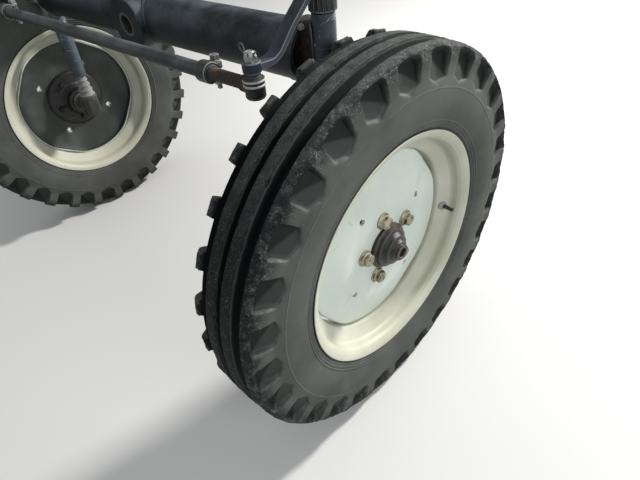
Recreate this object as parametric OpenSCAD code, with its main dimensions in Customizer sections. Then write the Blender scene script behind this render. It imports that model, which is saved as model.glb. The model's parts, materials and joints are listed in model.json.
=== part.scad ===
// Steered front axle of a farm tractor, with both wheels. Millimetres.
// Origin: centre of the pivot bore at the middle of the beam. +X is along the
// beam to the left wheel, -Y is forwards, +Z is up.

/* [Beam and pivot] */
// Outer diameter of the beam tube
beam_d = 104; // [92:1:110]
// Wall of the beam tube
beam_wall = 9; // [6:1:14]
// Outer diameter of the pivot boss
boss_d = 120; // [116:1:136]
// Length of the pivot boss along the pin
boss_l = 130; // [120:2:150]
// Diameter of the pin that the axle rocks on
pivot_pin_d = 40; // [30:1:46]
// Wall of the bush in the pivot boss
bush_wall = 6; // [4:0.5:9]

/* [Kingpins] */
// Distance from each kingpin out to the middle plane of its wheel
kingpin_offset = 114; // [108:0.5:130]
// Diameter of the kingpin
kingpin_d = 27; // [20:0.5:30]
// Outer diameter of the kingpin housing
housing_d = 42; // [38:1:46]
// Height of the housing above the beam's centre line
housing_up = 70; // [62:1:90]
// Depth of the housing below the beam's centre line
housing_down = 246; // [200:1:280]
// Backward lean of the kingpins, degrees
caster = 3; // [0:0.5:6]
// Turn of both wheels as parked, degrees, positive to the left
parked_steer = -2.9; // [-12:0.1:12]
// Thickness of the yokes between the beam's tube and the housings
gusset_t = 36; // [24:1:40]

/* [Stub axles and steering] */
// Distance from the beam's centre line down the kingpin to the wheel axis
hub_drop = 352; // [330:1:380]
// Diameter of the stub axle where it meets the hub
stub_d = 38; // [30:1:44]
// Across flats of the block at the foot of the kingpin
knee_w = 50; // [44:1:56]
// Length of the steering arm from kingpin to ball stud
arm_l = 160; // [150:1:180]
// Width of the steering arm's bar
arm_w = 26; // [20:1:32]
// Thickness of the steering arm's bar
arm_t = 10; // [8:1:14]
// Height of the ball stud's eye above the beam's centre line
eye_z = 28; // [22:1:34]
// Diameter of the eye at the end of the steering arm
eye_d = 30; // [27:1:38]
// Diameter of the tie rod's tube
tie_d = 26; // [24:1:34]
// Diameter of the socket cup at each end of the tie rod
cup_d = 33; // [30:1:40]
// Diameter of the ball stud's shank
stud_d = 15; // [12:0.5:18]

/* [Wheels] */
// Distance between the middle planes of the two wheels
track = 1309; // [1280:1:1500]
// Radius of the rim at the bead seats
bead_r = 228.6; // [222:0.1:235]
// Height of the rim's flanges over the bead seats
flange_h = 17.4; // [14:0.2:20]
// Overall width of the rim
rim_w = 134; // [124:1:144]
// Sheet thickness of the rim
rim_t = 4; // [3:0.5:6]
// Inner radius of the rim's well, where the disc is welded
well_r = 197; // [190:1:204]
// Sheet thickness of the disc
disc_t = 7; // [5:0.5:9]
// Place of the disc's flat outer face from the wheel's middle plane
disc_x = 26; // [16:1:34]
// Depth that the disc's edge lies behind its flat face
disc_dish = 16; // [8:1:24]
// Radius of the disc's flat middle
disc_flat_r = 128; // [118:1:150]
// Radius of the bolt circle
bolt_circle_r = 68.3; // [64:0.1:74]
// Number of wheel bolts
bolt_n = 5; // [4:1:6]
// Across flats of the wheel bolts' heads
bolt_af = 24; // [19:1:27]
// Radius of the circle of small holes in the disc
hole_circle_r = 120; // [108:1:124]
// Diameter of the small holes in the disc
hole_d = 12; // [8:1:18]
// Depth of the four gaps between the disc's edge and the rim
edge_gap = 7; // [5:1:12]
// Turn of the right wheel on its axle as parked, degrees
right_wheel_turn = 22; // [0:1:90]
// Diameter of the hub's flange behind the disc
hub_flange_d = 186; // [166:1:206]
// Length of the hub's nose in front of the disc
nose_l = 42; // [34:1:56]

/* [Tyres] */
// Radius of the tyre over its ribs
tyre_r = 394; // [380:1:410]
// Width of the tyre's section
tyre_w = 154; // [144:1:160]
// Depth of the grooves between the ribs
groove_h = 15; // [8:1:20]
// Width of the middle groove between the ribs
groove_w = 16; // [8:1:18]
// Width of the two outer grooves
outer_groove_w = 24; // [12:1:25]
// Distance from the middle groove to each outer groove
groove_pitch = 41; // [38:1:43]
// Number of pockets along each shoulder
pocket_n = 28; // [20:1:30]
// Width of each pocket
pocket_w = 56; // [40:1:60]
// Depth of the pockets' floor below the tread at its edge
pocket_depth = 20; // [16:0.5:22]
// Depth of the pockets' tip below the sidewall
pocket_tip_depth = 4; // [2:0.5:6]

/* [Hidden] */
$fn = 64;

// Clearances: a running fit, a seat between welded or pressed curved faces
run_gap = 0.05;
seat_gap = 0.2;

left = 1;
right = -1;
kingpin_x = track / 2 - kingpin_offset;

beam_black = [0.15, 0.17, 0.20];
arm_blue = [0.17, 0.21, 0.28];
cast_black = [0.12, 0.12, 0.12];
rust_brown = [0.42, 0.27, 0.18];
bright_steel = [0.66, 0.66, 0.64];
zinc_yellow = [0.72, 0.66, 0.45];
boot_grey = [0.62, 0.62, 0.60];
rim_cream = [0.80, 0.80, 0.74];
disc_green = [0.76, 0.81, 0.78];
rubber = [0.10, 0.10, 0.11];

// The kingpin's own frame: +X outwards, +Z up the kingpin, origin level with
// the beam. Both sides turn the same way, so the wheels stay parallel.
module kingpin_frame(side) {
    translate([side * kingpin_x, 0, 0])
        rotate([-caster, 0, 0])
            mirror([side < 0 ? 1 : 0, 0, 0])
                children();
}

module knuckle_frame(side) {
    translate([side * kingpin_x, 0, 0])
        rotate([-caster, 0, 0])
            rotate([0, 0, parked_steer])
                mirror([side < 0 ? 1 : 0, 0, 0])
                    children();
}

// The wheel's frame: +Z along the axle outwards, origin in its middle plane.
module wheel_frame(side) {
    knuckle_frame(side)
        translate([kingpin_offset, 0, -hub_drop])
            rotate([0, 90, 0])
                rotate([0, 0, side < 0 ? right_wheel_turn : 0])
                    children();
}

// The tie rod's frame: origin at the middle of the rod, level with its sockets.
arm_turn = [-arm_l * -sin(parked_steer), -arm_l * cos(parked_steer)];
module tie_frame() {
    rotate([-caster, 0, 0])
        translate([arm_turn[0], arm_turn[1], 0])
            children();
}

module tube(d_out, d_in, h) {
    difference() {
        cylinder(d = d_out, h = h);
        translate([0, 0, -1]) cylinder(d = d_in, h = h + 2);
    }
}

// Beam and pivot

housing_r = housing_d / 2;
beam_end = kingpin_x - 36;

module beam() {
    color(beam_black)
        difference() {
            translate([-beam_end, 0, 0]) rotate([0, 90, 0])
                tube(beam_d, beam_d - 2 * beam_wall, 2 * beam_end);
            rotate([90, 0, 0])
                cylinder(r = boss_d / 2 + seat_gap, h = beam_d + 2, center = true);
            for (side = [left, right])
                gusset_space(side);
        }
}

module pivot_boss() {
    color(beam_black)
        rotate([90, 0, 0]) translate([0, 0, -boss_l / 2])
            tube(boss_d, pivot_pin_d + 2 * bush_wall, boss_l);
}

module pivot_bush() {
    color(bright_steel)
        rotate([90, 0, 0]) translate([0, 0, -boss_l / 2])
            tube(pivot_pin_d + 2 * bush_wall - 2 * run_gap, pivot_pin_d + 2 * run_gap, boss_l);
}

// Kingpin housings

module housing(side) {
    color(beam_black)
        kingpin_frame(side)
            translate([0, 0, -housing_down])
                tube(housing_d, kingpin_d + 2 * run_gap, housing_down + housing_up);
}

gusset_run = 96;
gusset_rise = 57;
module gusset_outline(side) {
    // From the housing towards the middle: full height up to the tube's end, and
    // tapered to the tube's bore.
    polygon([
        [side * (kingpin_x - housing_r * 0.6), gusset_rise],
        [side * (kingpin_x - housing_r * 0.6), -gusset_rise],
        [side * (kingpin_x - gusset_run * 0.5), -gusset_rise],
        [side * (kingpin_x - gusset_run), -beam_d / 2 + beam_wall],
        [side * (kingpin_x - gusset_run), beam_d / 2 - beam_wall],
        [side * (kingpin_x - gusset_run * 0.5), gusset_rise]
    ]);
}

module gusset_space(side) {
    rotate([90, 0, 0])
        linear_extrude(gusset_t + 2 * seat_gap, center = true)
            gusset_outline(side);
}

module gusset(side) {
    color(rust_brown)
        difference() {
            rotate([90, 0, 0])
                linear_extrude(gusset_t, center = true)
                    gusset_outline(side);
            kingpin_frame(side)
                cylinder(r = housing_r + seat_gap, h = 4 * gusset_rise, center = true);
        }
}

// Kingpin and stub axle

thrust_h = 12;
knee_top = hub_drop - knee_w / 2 - 3;
boot_top = housing_down + 0.3;
nut_h = 20;
root_h = 56;
root_z = housing_up + 2;
pin_top = root_z + root_h + nut_h - 4;

module kingpin(side) {
    color(bright_steel)
        knuckle_frame(side)
            translate([0, 0, -knee_top])
                cylinder(d = kingpin_d, h = knee_top + pin_top);
}

module stub_axle(side) {
    color(cast_black)
        knuckle_frame(side)
            translate([0, 0, -hub_drop]) {
                translate([0, 0, -knee_w / 2])
                    linear_extrude(hub_drop - knee_top + knee_w / 2)
                        chamfered_square(knee_w, knee_w * 0.22);
                rotate([0, 90, 0]) cylinder(d = stub_d + 10, h = stub_shoulder);
                rotate([0, 90, 0]) cylinder(d = stub_d, h = stub_end);
            }
}

module chamfered_square(w, c) {
    h = w / 2;
    polygon([[h - c, -h], [h, -h + c], [h, h - c], [h - c, h],
             [c - h, h], [-h, h - c], [-h, c - h], [c - h, -h]]);
}

module thrust_ring(side) {
    color(cast_black)
        knuckle_frame(side)
            translate([0, 0, -knee_top])
                tube(knee_w + 6, kingpin_d + 2 * run_gap, thrust_h);
}

// Ribbed seal around the foot of the kingpin: rings that widen downwards.
module seal_boot(side) {
    ring_n = 4;
    low = knee_top - thrust_h;
    step = (low - boot_top) / ring_n;
    color(boot_grey)
        knuckle_frame(side)
            translate([0, 0, -low])
                difference() {
                    for (i = [0 : ring_n - 1])
                        translate([0, 0, i * step])
                            cylinder(d1 = kingpin_d + 22 - i * 3, d2 = kingpin_d + 13 - i * 2, h = step);
                    translate([0, 0, -1])
                        cylinder(d = kingpin_d + 2 * run_gap, h = low - boot_top + 2);
                }
}

// Steering arm: a joggled bar from the kingpin's top, over the housing and
// down to the eye of the ball stud.

eye_h = 17;
root_d = 46;
arm_path = [
    // [forwards, up]
    [0, root_z + root_h - 14],
    [24, root_z + root_h - 15],
    [46, root_z + root_h - 32],
    [78, eye_z + 40],
    [108, eye_z + 8],
    [122, eye_z + 1],
    [arm_l, eye_z]
];

module arm_bar() {
    rotate([90, 0, -90])
        linear_extrude(arm_w, center = true)
            for (i = [0 : len(arm_path) - 2])
                hull() {
                    translate([arm_path[i][0], arm_path[i][1]]) circle(d = arm_t, $fn = 24);
                    translate([arm_path[i + 1][0], arm_path[i + 1][1]]) circle(d = arm_t, $fn = 24);
                }
}

module steering_arm(side) {
    color(arm_blue)
        knuckle_frame(side)
            difference() {
                union() {
                    arm_bar();
                    translate([0, 0, root_z]) cylinder(d = root_d, h = root_h);
                    translate([0, -arm_l, eye_z - eye_h / 2]) cylinder(d = eye_d, h = eye_h);
                }
                translate([0, 0, root_z - 1])
                    cylinder(d = kingpin_d + 2 * run_gap, h = root_h + 2);
                translate([0, -arm_l, eye_z - eye_h])
                    cylinder(d = stud_d + 2 * run_gap, h = 2 * eye_h);
            }
}

module hex_prism(af, h) {
    cylinder(d = af / cos(30), h = h, $fn = 6);
}

module kingpin_nut(side) {
    color(cast_black)
        knuckle_frame(side)
            translate([0, 0, root_z + root_h])
                difference() {
                    union() {
                        cylinder(d = kingpin_d + 20, h = 4);
                        hex_prism(kingpin_d + 13, nut_h);
                    }
                    translate([0, 0, -1]) cylinder(d = kingpin_d + 2 * run_gap, h = nut_h + 2);
                }
}

// Ball stud, its nut, and the socket that it turns in

ball_d = 24;
ball_z = eye_z - eye_h / 2 - 21.5;
stud_nut_af = 19;
stud_nut_h = 12;

module ball_stud(side) {
    stud_top = eye_z + eye_h / 2 + stud_nut_h + 3;
    color(bright_steel)
        knuckle_frame(side)
            translate([0, -arm_l, 0]) {
                translate([0, 0, ball_z]) sphere(d = ball_d);
                translate([0, 0, ball_z]) cylinder(d = stud_d, h = stud_top - ball_z);
                translate([0, 0, eye_z + eye_h / 2]) hex_prism(stud_nut_af, stud_nut_h);
            }
}

// Tie rod. Both sockets stand square to the rod, a rod's length apart.

cup_h = 32;
cup_mouth = 12;
half_tie = kingpin_x;
shank_d = 20;
shank_l = 74;
tube_start = 58;

module tie_rod_tube() {
    color(arm_blue)
        tie_frame()
            translate([-(half_tie - tube_start), 0, ball_z])
                rotate([0, 90, 0])
                    tube(tie_d, shank_d + 2 * run_gap, 2 * (half_tie - tube_start));
}

module tie_end(side) {
    color(cast_black)
        tie_frame()
            translate([side * half_tie, 0, ball_z])
                difference() {
                    union() {
                        translate([0, 0, cup_mouth - cup_h]) cylinder(d = cup_d, h = cup_h);
                        rotate([0, -side * 90, 0]) cylinder(d = shank_d, h = tube_start + shank_l);
                        for (z = [1.5, 9]) translate([0, 0, z]) cylinder(d = cup_d + 3, h = 3);
                    }
                    sphere(d = ball_d + 2 * run_gap);
                    cylinder(d = stud_d + 6, h = cup_mouth + 1);
                }
}

clamp_w = 26;
clamp_bolt_d = 10;
module tie_clamp(side) {
    place = half_tie - tube_start - clamp_w / 2 - 6;
    color(cast_black)
        tie_frame()
            translate([side * place, 0, ball_z])
                difference() {
                    union() {
                        translate([-clamp_w / 2, 0, 0]) rotate([0, 90, 0])
                            cylinder(d = tie_d + 12, h = clamp_w);
                        translate([-clamp_w / 2, -tie_d / 2 - 12, -12])
                            cube([clamp_w, 14, 24]);
                        translate([0, -tie_d / 2 - 6, -20])
                            cylinder(d = clamp_bolt_d, h = 44);
                        translate([0, -tie_d / 2 - 6, 12]) hex_prism(17, 10);
                    }
                    translate([-clamp_w, 0, 0]) rotate([0, 90, 0])
                        cylinder(d = tie_d + 2 * run_gap, h = 2 * clamp_w);
                }
}

// Dust cover between the socket and the eye: two rolled rings.
module dust_cover(side) {
    low = ball_z + cup_mouth;
    high = eye_z - eye_h / 2 - 0.3;
    color(bright_steel)
        tie_frame()
            translate([side * half_tie, 0, low])
                difference() {
                    union() {
                        cylinder(d = cup_d + 2, h = (high - low) * 0.35);
                        cylinder(d = cup_d - 4, h = (high - low) * 0.6);
                        cylinder(d = cup_d - 8, h = high - low);
                    }
                    translate([0, 0, -1]) cylinder(d = stud_d + 6, h = high - low + 2);
                }
}

// Hub

hub_barrel_d = 84;
hub_barrel_l = 46;
flange_t = 16;
hub_flange_z = disc_x - disc_t - flange_t;
hub_inner_z = hub_flange_z - hub_barrel_l;
stub_shoulder = kingpin_offset + hub_inner_z - 1;
stub_end = kingpin_offset + disc_x + nose_l * 0.6;

module hub(side) {
    color(cast_black)
        wheel_frame(side)
            difference() {
                union() {
                    translate([0, 0, hub_flange_z]) cylinder(d = hub_flange_d, h = flange_t);
                    translate([0, 0, hub_inner_z])
                        cylinder(d = hub_barrel_d, h = disc_x - hub_inner_z);
                }
                translate([0, 0, hub_inner_z - 1])
                    cylinder(d = stub_d + 2 * run_gap, h = disc_x - hub_inner_z + 2);
                bolt_holes();
            }
}

bolt_phase = 190.6;
bolt_d = 16;
module at_bolts() {
    for (i = [0 : bolt_n - 1])
        rotate([0, 0, bolt_phase + i * 360 / bolt_n])
            translate([bolt_circle_r, 0, 0])
                children();
}

module bolt_holes() {
    at_bolts()
        translate([0, 0, hub_flange_z - 1])
            cylinder(d = bolt_d + 2 * run_gap, h = flange_t + disc_t + 2);
}

// Nose of the hub: a stepped cone with an open tip.
nose_steps = [
    // [diameter, height from the disc as a share of the nose]
    [hub_barrel_d + 14, 0.22], [hub_barrel_d - 8, 0.42], [62, 0.66], [44, 0.84], [34, 1]
];
module hub_nose(side) {
    color(rust_brown)
        wheel_frame(side)
            translate([0, 0, disc_x])
                difference() {
                    for (s = nose_steps) cylinder(d = s[0], h = nose_l * s[1]);
                    translate([0, 0, -1]) cylinder(d = stub_d + 2 * run_gap, h = nose_l * 0.6 + 2);
                    cylinder(d = 20, h = nose_l + 1);
                }
}

// Disc

hole_phase = 216.3;
disc_lip = 22;
module disc(side) {
    edge_x = disc_x - disc_dish;
    color(disc_green)
        wheel_frame(side)
            difference() {
                rotate_extrude()
                    polygon([
                        [hub_barrel_d / 2 + seat_gap, disc_x - disc_t],
                        [disc_flat_r, disc_x - disc_t],
                        [well_r - seat_gap - 9, edge_x - disc_t],
                        [well_r - seat_gap - disc_t, edge_x - disc_t - 4],
                        [well_r - seat_gap - disc_t, edge_x - disc_lip],
                        [well_r - seat_gap, edge_x - disc_lip],
                        [well_r - seat_gap, edge_x - 3],
                        [well_r - seat_gap - 4, edge_x],
                        [disc_flat_r, disc_x],
                        [hub_barrel_d / 2 + seat_gap, disc_x]
                    ]);
                bolt_holes();
                for (i = [0 : 3])
                    rotate([0, 0, hole_phase + i * 90]) {
                        translate([hole_circle_r, 0, disc_x - disc_t - 1])
                            cylinder(d = hole_d, h = disc_t + 2);
                        // A straight cut off the edge leaves a crescent gap at the rim
                        translate([well_r - edge_gap, -well_r / 2, edge_x - disc_lip - 1])
                            cube([2 * edge_gap, well_r, disc_lip + disc_dish]);
                    }
            }
}

module wheel_bolts(side) {
    washer_t = 4;
    washer_d = bolt_af + 8;
    head_h = 10;
    color(zinc_yellow)
        wheel_frame(side)
            at_bolts() {
                translate([0, 0, hub_flange_z - 8]) cylinder(d = bolt_d, h = disc_x - hub_flange_z + 8);
                translate([0, 0, disc_x]) cylinder(d = washer_d, h = washer_t);
                translate([0, 0, disc_x + washer_t]) hex_prism(bolt_af, head_h);
            }
}

// Rim

flange_r = bead_r + flange_h;
seat_in = rim_w / 2 - 7;
seat_end = rim_w / 2 - 34;
well_half = 16;

module rim(side) {
    color(rim_cream)
        wheel_frame(side)
            difference() {
                rotate_extrude()
                    polygon(concat(
                        rim_side(1),
                        [for (i = [len(rim_side(-1)) - 1 : -1 : 0]) rim_side(-1)[i]]
                    ));
                valve_hole();
            }
}

// One half of the section: along the hub's side to the flange, then back
// along the tyre's side to the well.
function rim_side(s) = [
    [well_r, s * (well_half + 1)],
    [bead_r - rim_t - 2, s * seat_end],
    [bead_r - rim_t, s * (rim_w / 2 - 5)],
    [bead_r - 1, s * (rim_w / 2 - 0.5)],
    [flange_r - 2, s * rim_w / 2],
    [flange_r, s * (rim_w / 2 - 1.5)],
    [flange_r, s * (rim_w / 2 - 5)],
    [bead_r + 2, s * (rim_w / 2 - 5.5)],
    [bead_r, s * seat_in],
    [bead_r - 2, s * (seat_end - 0.8)],
    [well_r + rim_t, s * well_half]
];

// Valve: in the slope of the well on the outer side.
valve_phase = 82.4;
valve_r = (well_r + bead_r - rim_t - 2) / 2;
valve_z = (well_half + 1 + seat_end) / 2;
slope_turn = atan2(bead_r - rim_t - 2 - well_r, seat_end - well_half - 1);

module at_valve() {
    rotate([0, 0, valve_phase])
        translate([valve_r, 0, valve_z])
            rotate([0, slope_turn - 90, 0])
                children();
}

module valve_hole() {
    at_valve() translate([0, 0, -20]) cylinder(d = 16, h = 30);
}

module valve(side) {
    color(cast_black)
        wheel_frame(side)
            at_valve() {
                translate([0, 0, -rim_t]) cylinder(d = 16 - 2 * seat_gap, h = rim_t + 3);
                translate([0, 0, 0.3]) cylinder(d = 22, h = 4);
                cylinder(d = 9, h = 34);
            }
}

// Tyre

// The sidewall is an ellipse that is widest at side_r and bulges over the flange.
side_r = flange_r + 0.423 * (tyre_r - flange_r);
side_reach = side_r - flange_r + 45;
lap_angle = acos((flange_r + 3 - side_r) / side_reach);
flank_angle = 73;
lining_angle = 60;
shoulder_r = tyre_r - 10;
shoulder_z = tyre_w / 2 - 8;
crown_z = shoulder_z - 8;
crown_drop = 2.5;
bead_z = rim_w / 2 - 7;
bead_gap = 0.5;
carcass = 13;

function side_arc(reach, half_w, a0, a1, n) =
    [for (i = [0 : n]) let (a = a0 + (a1 - a0) * i / n) [side_r + reach * cos(a), half_w * sin(a)]];

// Radius of the slightly domed tread
function crown(z) = tyre_r - crown_drop * pow(z / crown_z, 2);

function groove(z, w) = [
    [crown(z + w / 2), z + w / 2], [tyre_r - groove_h, z + w / 4],
    [tyre_r - groove_h, z - w / 4], [crown(z - w / 2), z - w / 2]
];

// Outer half section from the bead up to the shoulder, for one side.
function wall_out(s) = concat(
    [[bead_r + bead_gap, s * (bead_z - bead_gap)], [flange_r - 2, s * (rim_w / 2 - 6)],
     [flange_r + bead_gap, s * (rim_w / 2 - 6)]],
    [for (p = side_arc(side_reach, tyre_w / 2, lap_angle, flank_angle, 7)) [p[0], s * p[1]]],
    [[shoulder_r - 10, s * (shoulder_z + 4)], [shoulder_r, s * shoulder_z],
     [crown(crown_z), s * crown_z]]
);

function wall_in(s) = concat(
    [[bead_r + bead_gap, s * (bead_z - 15)], [flange_r, s * (rim_w / 2 - 18)]],
    [for (p = side_arc(side_reach - carcass, tyre_w / 2 - carcass, lap_angle, lining_angle, 5)) [p[0], s * p[1]]],
    [[shoulder_r - 16, s * (shoulder_z - 24)]]
);

function flip(a) = [for (i = [len(a) - 1 : -1 : 0]) a[i]];

// Pockets in the shoulders. Each is a shield-shaped outline, cut in halfway between the
// tread's and the sidewall's direction, down to a flat floor. The floor runs from floor_top,
// under the tread's edge, to floor_tip, under the sidewall. The two are [radius, height].
pocket_phase = 2.2;
floor_top = [tyre_r - pocket_depth, crown_z - 3];
floor_tip = [side_r + 0.2 * (shoulder_r - side_r), tyre_w / 2 - 1 - pocket_tip_depth];
floor_run = floor_top - floor_tip;
floor_lean = atan2(-floor_run[1], floor_run[0]);
cut_lean = 45;
cut_length = norm(floor_run) * cos(cut_lean - floor_lean);
pocket_tool_h = 60;

module pocket_outline() {
    w = pocket_w / 2;
    // [distance from the top towards the tip, half width]
    edge = [[0, w * 0.6], [cut_length * 0.07, w * 0.86], [cut_length * 0.2, w],
            [cut_length * 0.72, w * 0.92], [cut_length, w * 0.04]];
    polygon(concat([for (e = edge) [-e[0], e[1]]], [for (e = flip(edge)) [-e[0], -e[1]]]));
}

module pocket() {
    translate([floor_top[0], 0, floor_top[1]])
        intersection() {
            rotate([0, cut_lean, 0])
                translate([0, 0, -pocket_tool_h / 2])
                    linear_extrude(pocket_tool_h * 1.5) pocket_outline();
            rotate([0, floor_lean, 0])
                translate([-pocket_tool_h * 1.5, -pocket_w, 0])
                    cube([pocket_tool_h * 2.5, 2 * pocket_w, pocket_tool_h]);
        }
}

module tyre(side) {
    color(rubber)
        wheel_frame(side)
            difference() {
                rotate_extrude($fn = 128)
                    polygon(concat(
                        wall_out(1),
                        groove(groove_pitch, outer_groove_w), groove(0, groove_w),
                        groove(-groove_pitch, outer_groove_w),
                        flip(wall_out(-1)), wall_in(-1), flip(wall_in(1))
                    ));
                // The inner shoulder's pockets lie half a pitch further on.
                for (s = [0, 1], i = [0 : pocket_n - 1])
                    mirror([0, 0, s])
                        rotate([0, 0, pocket_phase + (i + s / 2) * 360 / pocket_n])
                            pocket();
            }
}

beam();
pivot_boss();
pivot_bush();
housing(left);  // housing_left
housing(right);  // housing_right
gusset(left);  // gusset_left
gusset(right);  // gusset_right
kingpin(left);  // kingpin_left
kingpin(right);  // kingpin_right
stub_axle(left);  // stub_axle_left
stub_axle(right);  // stub_axle_right
seal_boot(left);  // seal_boot_left
seal_boot(right);  // seal_boot_right
thrust_ring(left);  // thrust_ring_left
thrust_ring(right);  // thrust_ring_right
steering_arm(left);  // steering_arm_left
steering_arm(right);  // steering_arm_right
kingpin_nut(left);  // kingpin_nut_left
kingpin_nut(right);  // kingpin_nut_right
ball_stud(left);  // ball_stud_left
ball_stud(right);  // ball_stud_right
tie_rod_tube();
tie_end(left);  // tie_end_left
tie_end(right);  // tie_end_right
tie_clamp(left);  // tie_clamp_left
tie_clamp(right);  // tie_clamp_right
dust_cover(left);  // dust_cover_left
dust_cover(right);  // dust_cover_right
tyre(left);  // tyre_left
tyre(right);  // tyre_right
rim(left);  // rim_left
rim(right);  // rim_right
disc(left);  // disc_left
disc(right);  // disc_right
hub(left);  // hub_left
hub(right);  // hub_right
hub_nose(left);  // hub_nose_left
hub_nose(right);  // hub_nose_right
wheel_bolts(left);  // wheel_bolts_left
wheel_bolts(right);  // wheel_bolts_right
valve(left);  // valve_left
valve(right);  // valve_right
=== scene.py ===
# The looks of a steered front axle with both wheels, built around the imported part.
# The scene is in metres. The pieces' dictionaries give millimetres and degrees, and those of
# the camera, the floor and the lamps give metres.
import json
import math
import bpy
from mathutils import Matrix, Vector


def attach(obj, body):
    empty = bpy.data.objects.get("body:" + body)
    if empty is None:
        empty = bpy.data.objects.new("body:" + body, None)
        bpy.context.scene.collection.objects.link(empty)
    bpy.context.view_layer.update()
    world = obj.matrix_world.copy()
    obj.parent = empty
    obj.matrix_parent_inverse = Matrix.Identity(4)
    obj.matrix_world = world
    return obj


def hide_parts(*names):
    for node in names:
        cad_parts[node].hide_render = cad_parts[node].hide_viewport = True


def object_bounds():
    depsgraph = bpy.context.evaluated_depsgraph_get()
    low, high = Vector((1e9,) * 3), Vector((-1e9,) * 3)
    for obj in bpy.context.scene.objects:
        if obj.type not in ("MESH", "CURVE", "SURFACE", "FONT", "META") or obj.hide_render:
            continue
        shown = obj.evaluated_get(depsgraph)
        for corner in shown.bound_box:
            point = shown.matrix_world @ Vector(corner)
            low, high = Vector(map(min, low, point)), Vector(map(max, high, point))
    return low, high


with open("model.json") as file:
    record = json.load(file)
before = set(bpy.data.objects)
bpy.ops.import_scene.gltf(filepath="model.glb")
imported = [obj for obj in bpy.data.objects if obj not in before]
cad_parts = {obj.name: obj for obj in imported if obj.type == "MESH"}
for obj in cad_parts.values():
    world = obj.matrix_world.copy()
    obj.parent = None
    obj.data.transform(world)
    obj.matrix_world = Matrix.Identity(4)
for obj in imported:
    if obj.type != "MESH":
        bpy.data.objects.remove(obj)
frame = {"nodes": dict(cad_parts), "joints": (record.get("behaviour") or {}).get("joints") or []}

from types import SimpleNamespace
import bmesh
import bpy
import numpy as np
from mathutils import Matrix, Vector

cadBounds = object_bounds()
metre = 0.001
sides = {"left": 1, "right": -1}
wheelTurns = {"left": 0.0, "right": 22.0}
randomSeed = 11
joints = {joint["name"]: joint for joint in frame["joints"]}
upAxis = np.array(joints["steer_left"]["axis"])
spinAxis = np.array(joints["wheel_spin_left"]["axis"])
backAxis = np.cross(upAxis, spinAxis)
kingpinAt = joints["steer_left"]["pos_m"][0] / metre


# Frames: three axes and an origin, as the columns of a 3 by 4 array

def columns(x, y, z, origin):
    return np.stack([np.array(v, float) for v in (x, y, z, origin)], axis=1)


def jointPlace(name):
    return np.array(joints[name]["pos_m"])


def sideFrames(side):
    # The knuckle's X points outwards along the axle, Y backwards and Z up the kingpin. The
    # housing's is the same, but square to the beam, and the tie's is the housing's at the ball.
    # The wheel's Z points out of the wheel, and its X down when the turn is 0.
    out, kingpin = sides[side], jointPlace(f"steer_{side}")
    back = np.cross(upAxis, [1, 0, 0])
    ball = jointPlace("tie_rod_swing") - jointPlace("steer_left") + kingpin
    turn = math.radians(wheelTurns[side])
    c, s = math.cos(turn), math.sin(turn)
    return {"knuckle": columns(out * spinAxis, backAxis, upAxis, kingpin),
            "housing": columns([out, 0, 0], back, upAxis, kingpin),
            "tie": columns([out, 0, 0], back, upAxis, ball),
            "wheel": columns(s * backAxis - c * upAxis, c * backAxis + s * upAxis, out * spinAxis,
                             jointPlace(f"wheel_spin_{side}"))}


frames = {side: sideFrames(side) for side in sides}
frameBodies = {"knuckle": "knuckle_{}", "housing": "axle", "tie": "tie_rod", "wheel": "wheel_{}"}
beamFrame = columns([1, 0, 0], [0, 1, 0], [0, 0, 1], [0, 0, 0])


# Surfaces: a part is a dictionary of points, quads, triangles and values per point

def unit(vectors):
    # Each vector divided by its length.
    return vectors / np.linalg.norm(vectors, axis=-1, keepdims=True)


def lengthsAlong(line):
    # The distance from the line's start to each of its points.
    return np.concatenate([[0], np.cumsum(np.linalg.norm(np.diff(line, axis=0), axis=1))])


def pointsAt(at, lengths, line):
    # The points of a line at the given distances from its start.
    return np.stack([np.interp(at, lengths, column) for column in line.T], -1)


def roundTurn(count):
    # Even angles once round.
    return np.linspace(0, 2 * np.pi, count, endpoint=False)


def gridPart(points, wrapRows=False, values=None):
    # A sheet of points in rows and closed columns, with a quad between each four neighbours.
    rows, count = points.shape[:2]
    r, c = np.meshgrid(np.arange(rows if wrapRows else rows - 1), np.arange(count), indexing="ij")
    below, beside = (r + 1) % rows, (c + 1) % count
    quads = np.stack([r * count + c, r * count + beside, below * count + beside, below * count + c], -1)
    flat = {key: np.broadcast_to(value, (rows, count)).reshape(-1) for key, value in (values or {}).items()}
    return {"points": points.reshape(-1, 3), "quads": quads.reshape(-1, 4),
            "triangles": np.zeros((0, 3), int), "values": flat}


def joined(parts):
    # One part from several, with the later ones' indices moved up.
    start = np.cumsum([0] + [len(part["points"]) for part in parts])
    whole = {key: np.concatenate([part[key] + s for part, s in zip(parts, start)])
             for key in ("quads", "triangles")}
    names = sorted({name for part in parts for name in part["values"]})
    values = {name: np.concatenate([part["values"].get(name, np.zeros(len(part["points"])))
                                    for part in parts]) for name in names}
    return dict(whole, points=np.concatenate([part["points"] for part in parts]), values=values)


def moved(part, offset=(0, 0, 0), turn=None):
    # The part turned by a 3 by 3 matrix and then shifted.
    points = part["points"] if turn is None else part["points"] @ np.array(turn).T
    return dict(part, points=points + np.array(offset, float))


def turnAbout(axis, degrees):
    # A turn about an axis, as a 3 by 3 matrix.
    return np.array(Matrix.Rotation(math.radians(degrees), 3, Vector(axis)))


aboutX, aboutY, aboutZ = (1, 0, 0), (0, 1, 0), (0, 0, 1)


def toX(part):
    # A part made along Z, laid along X.
    return moved(part, turn=turnAbout(aboutY, 90))


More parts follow.
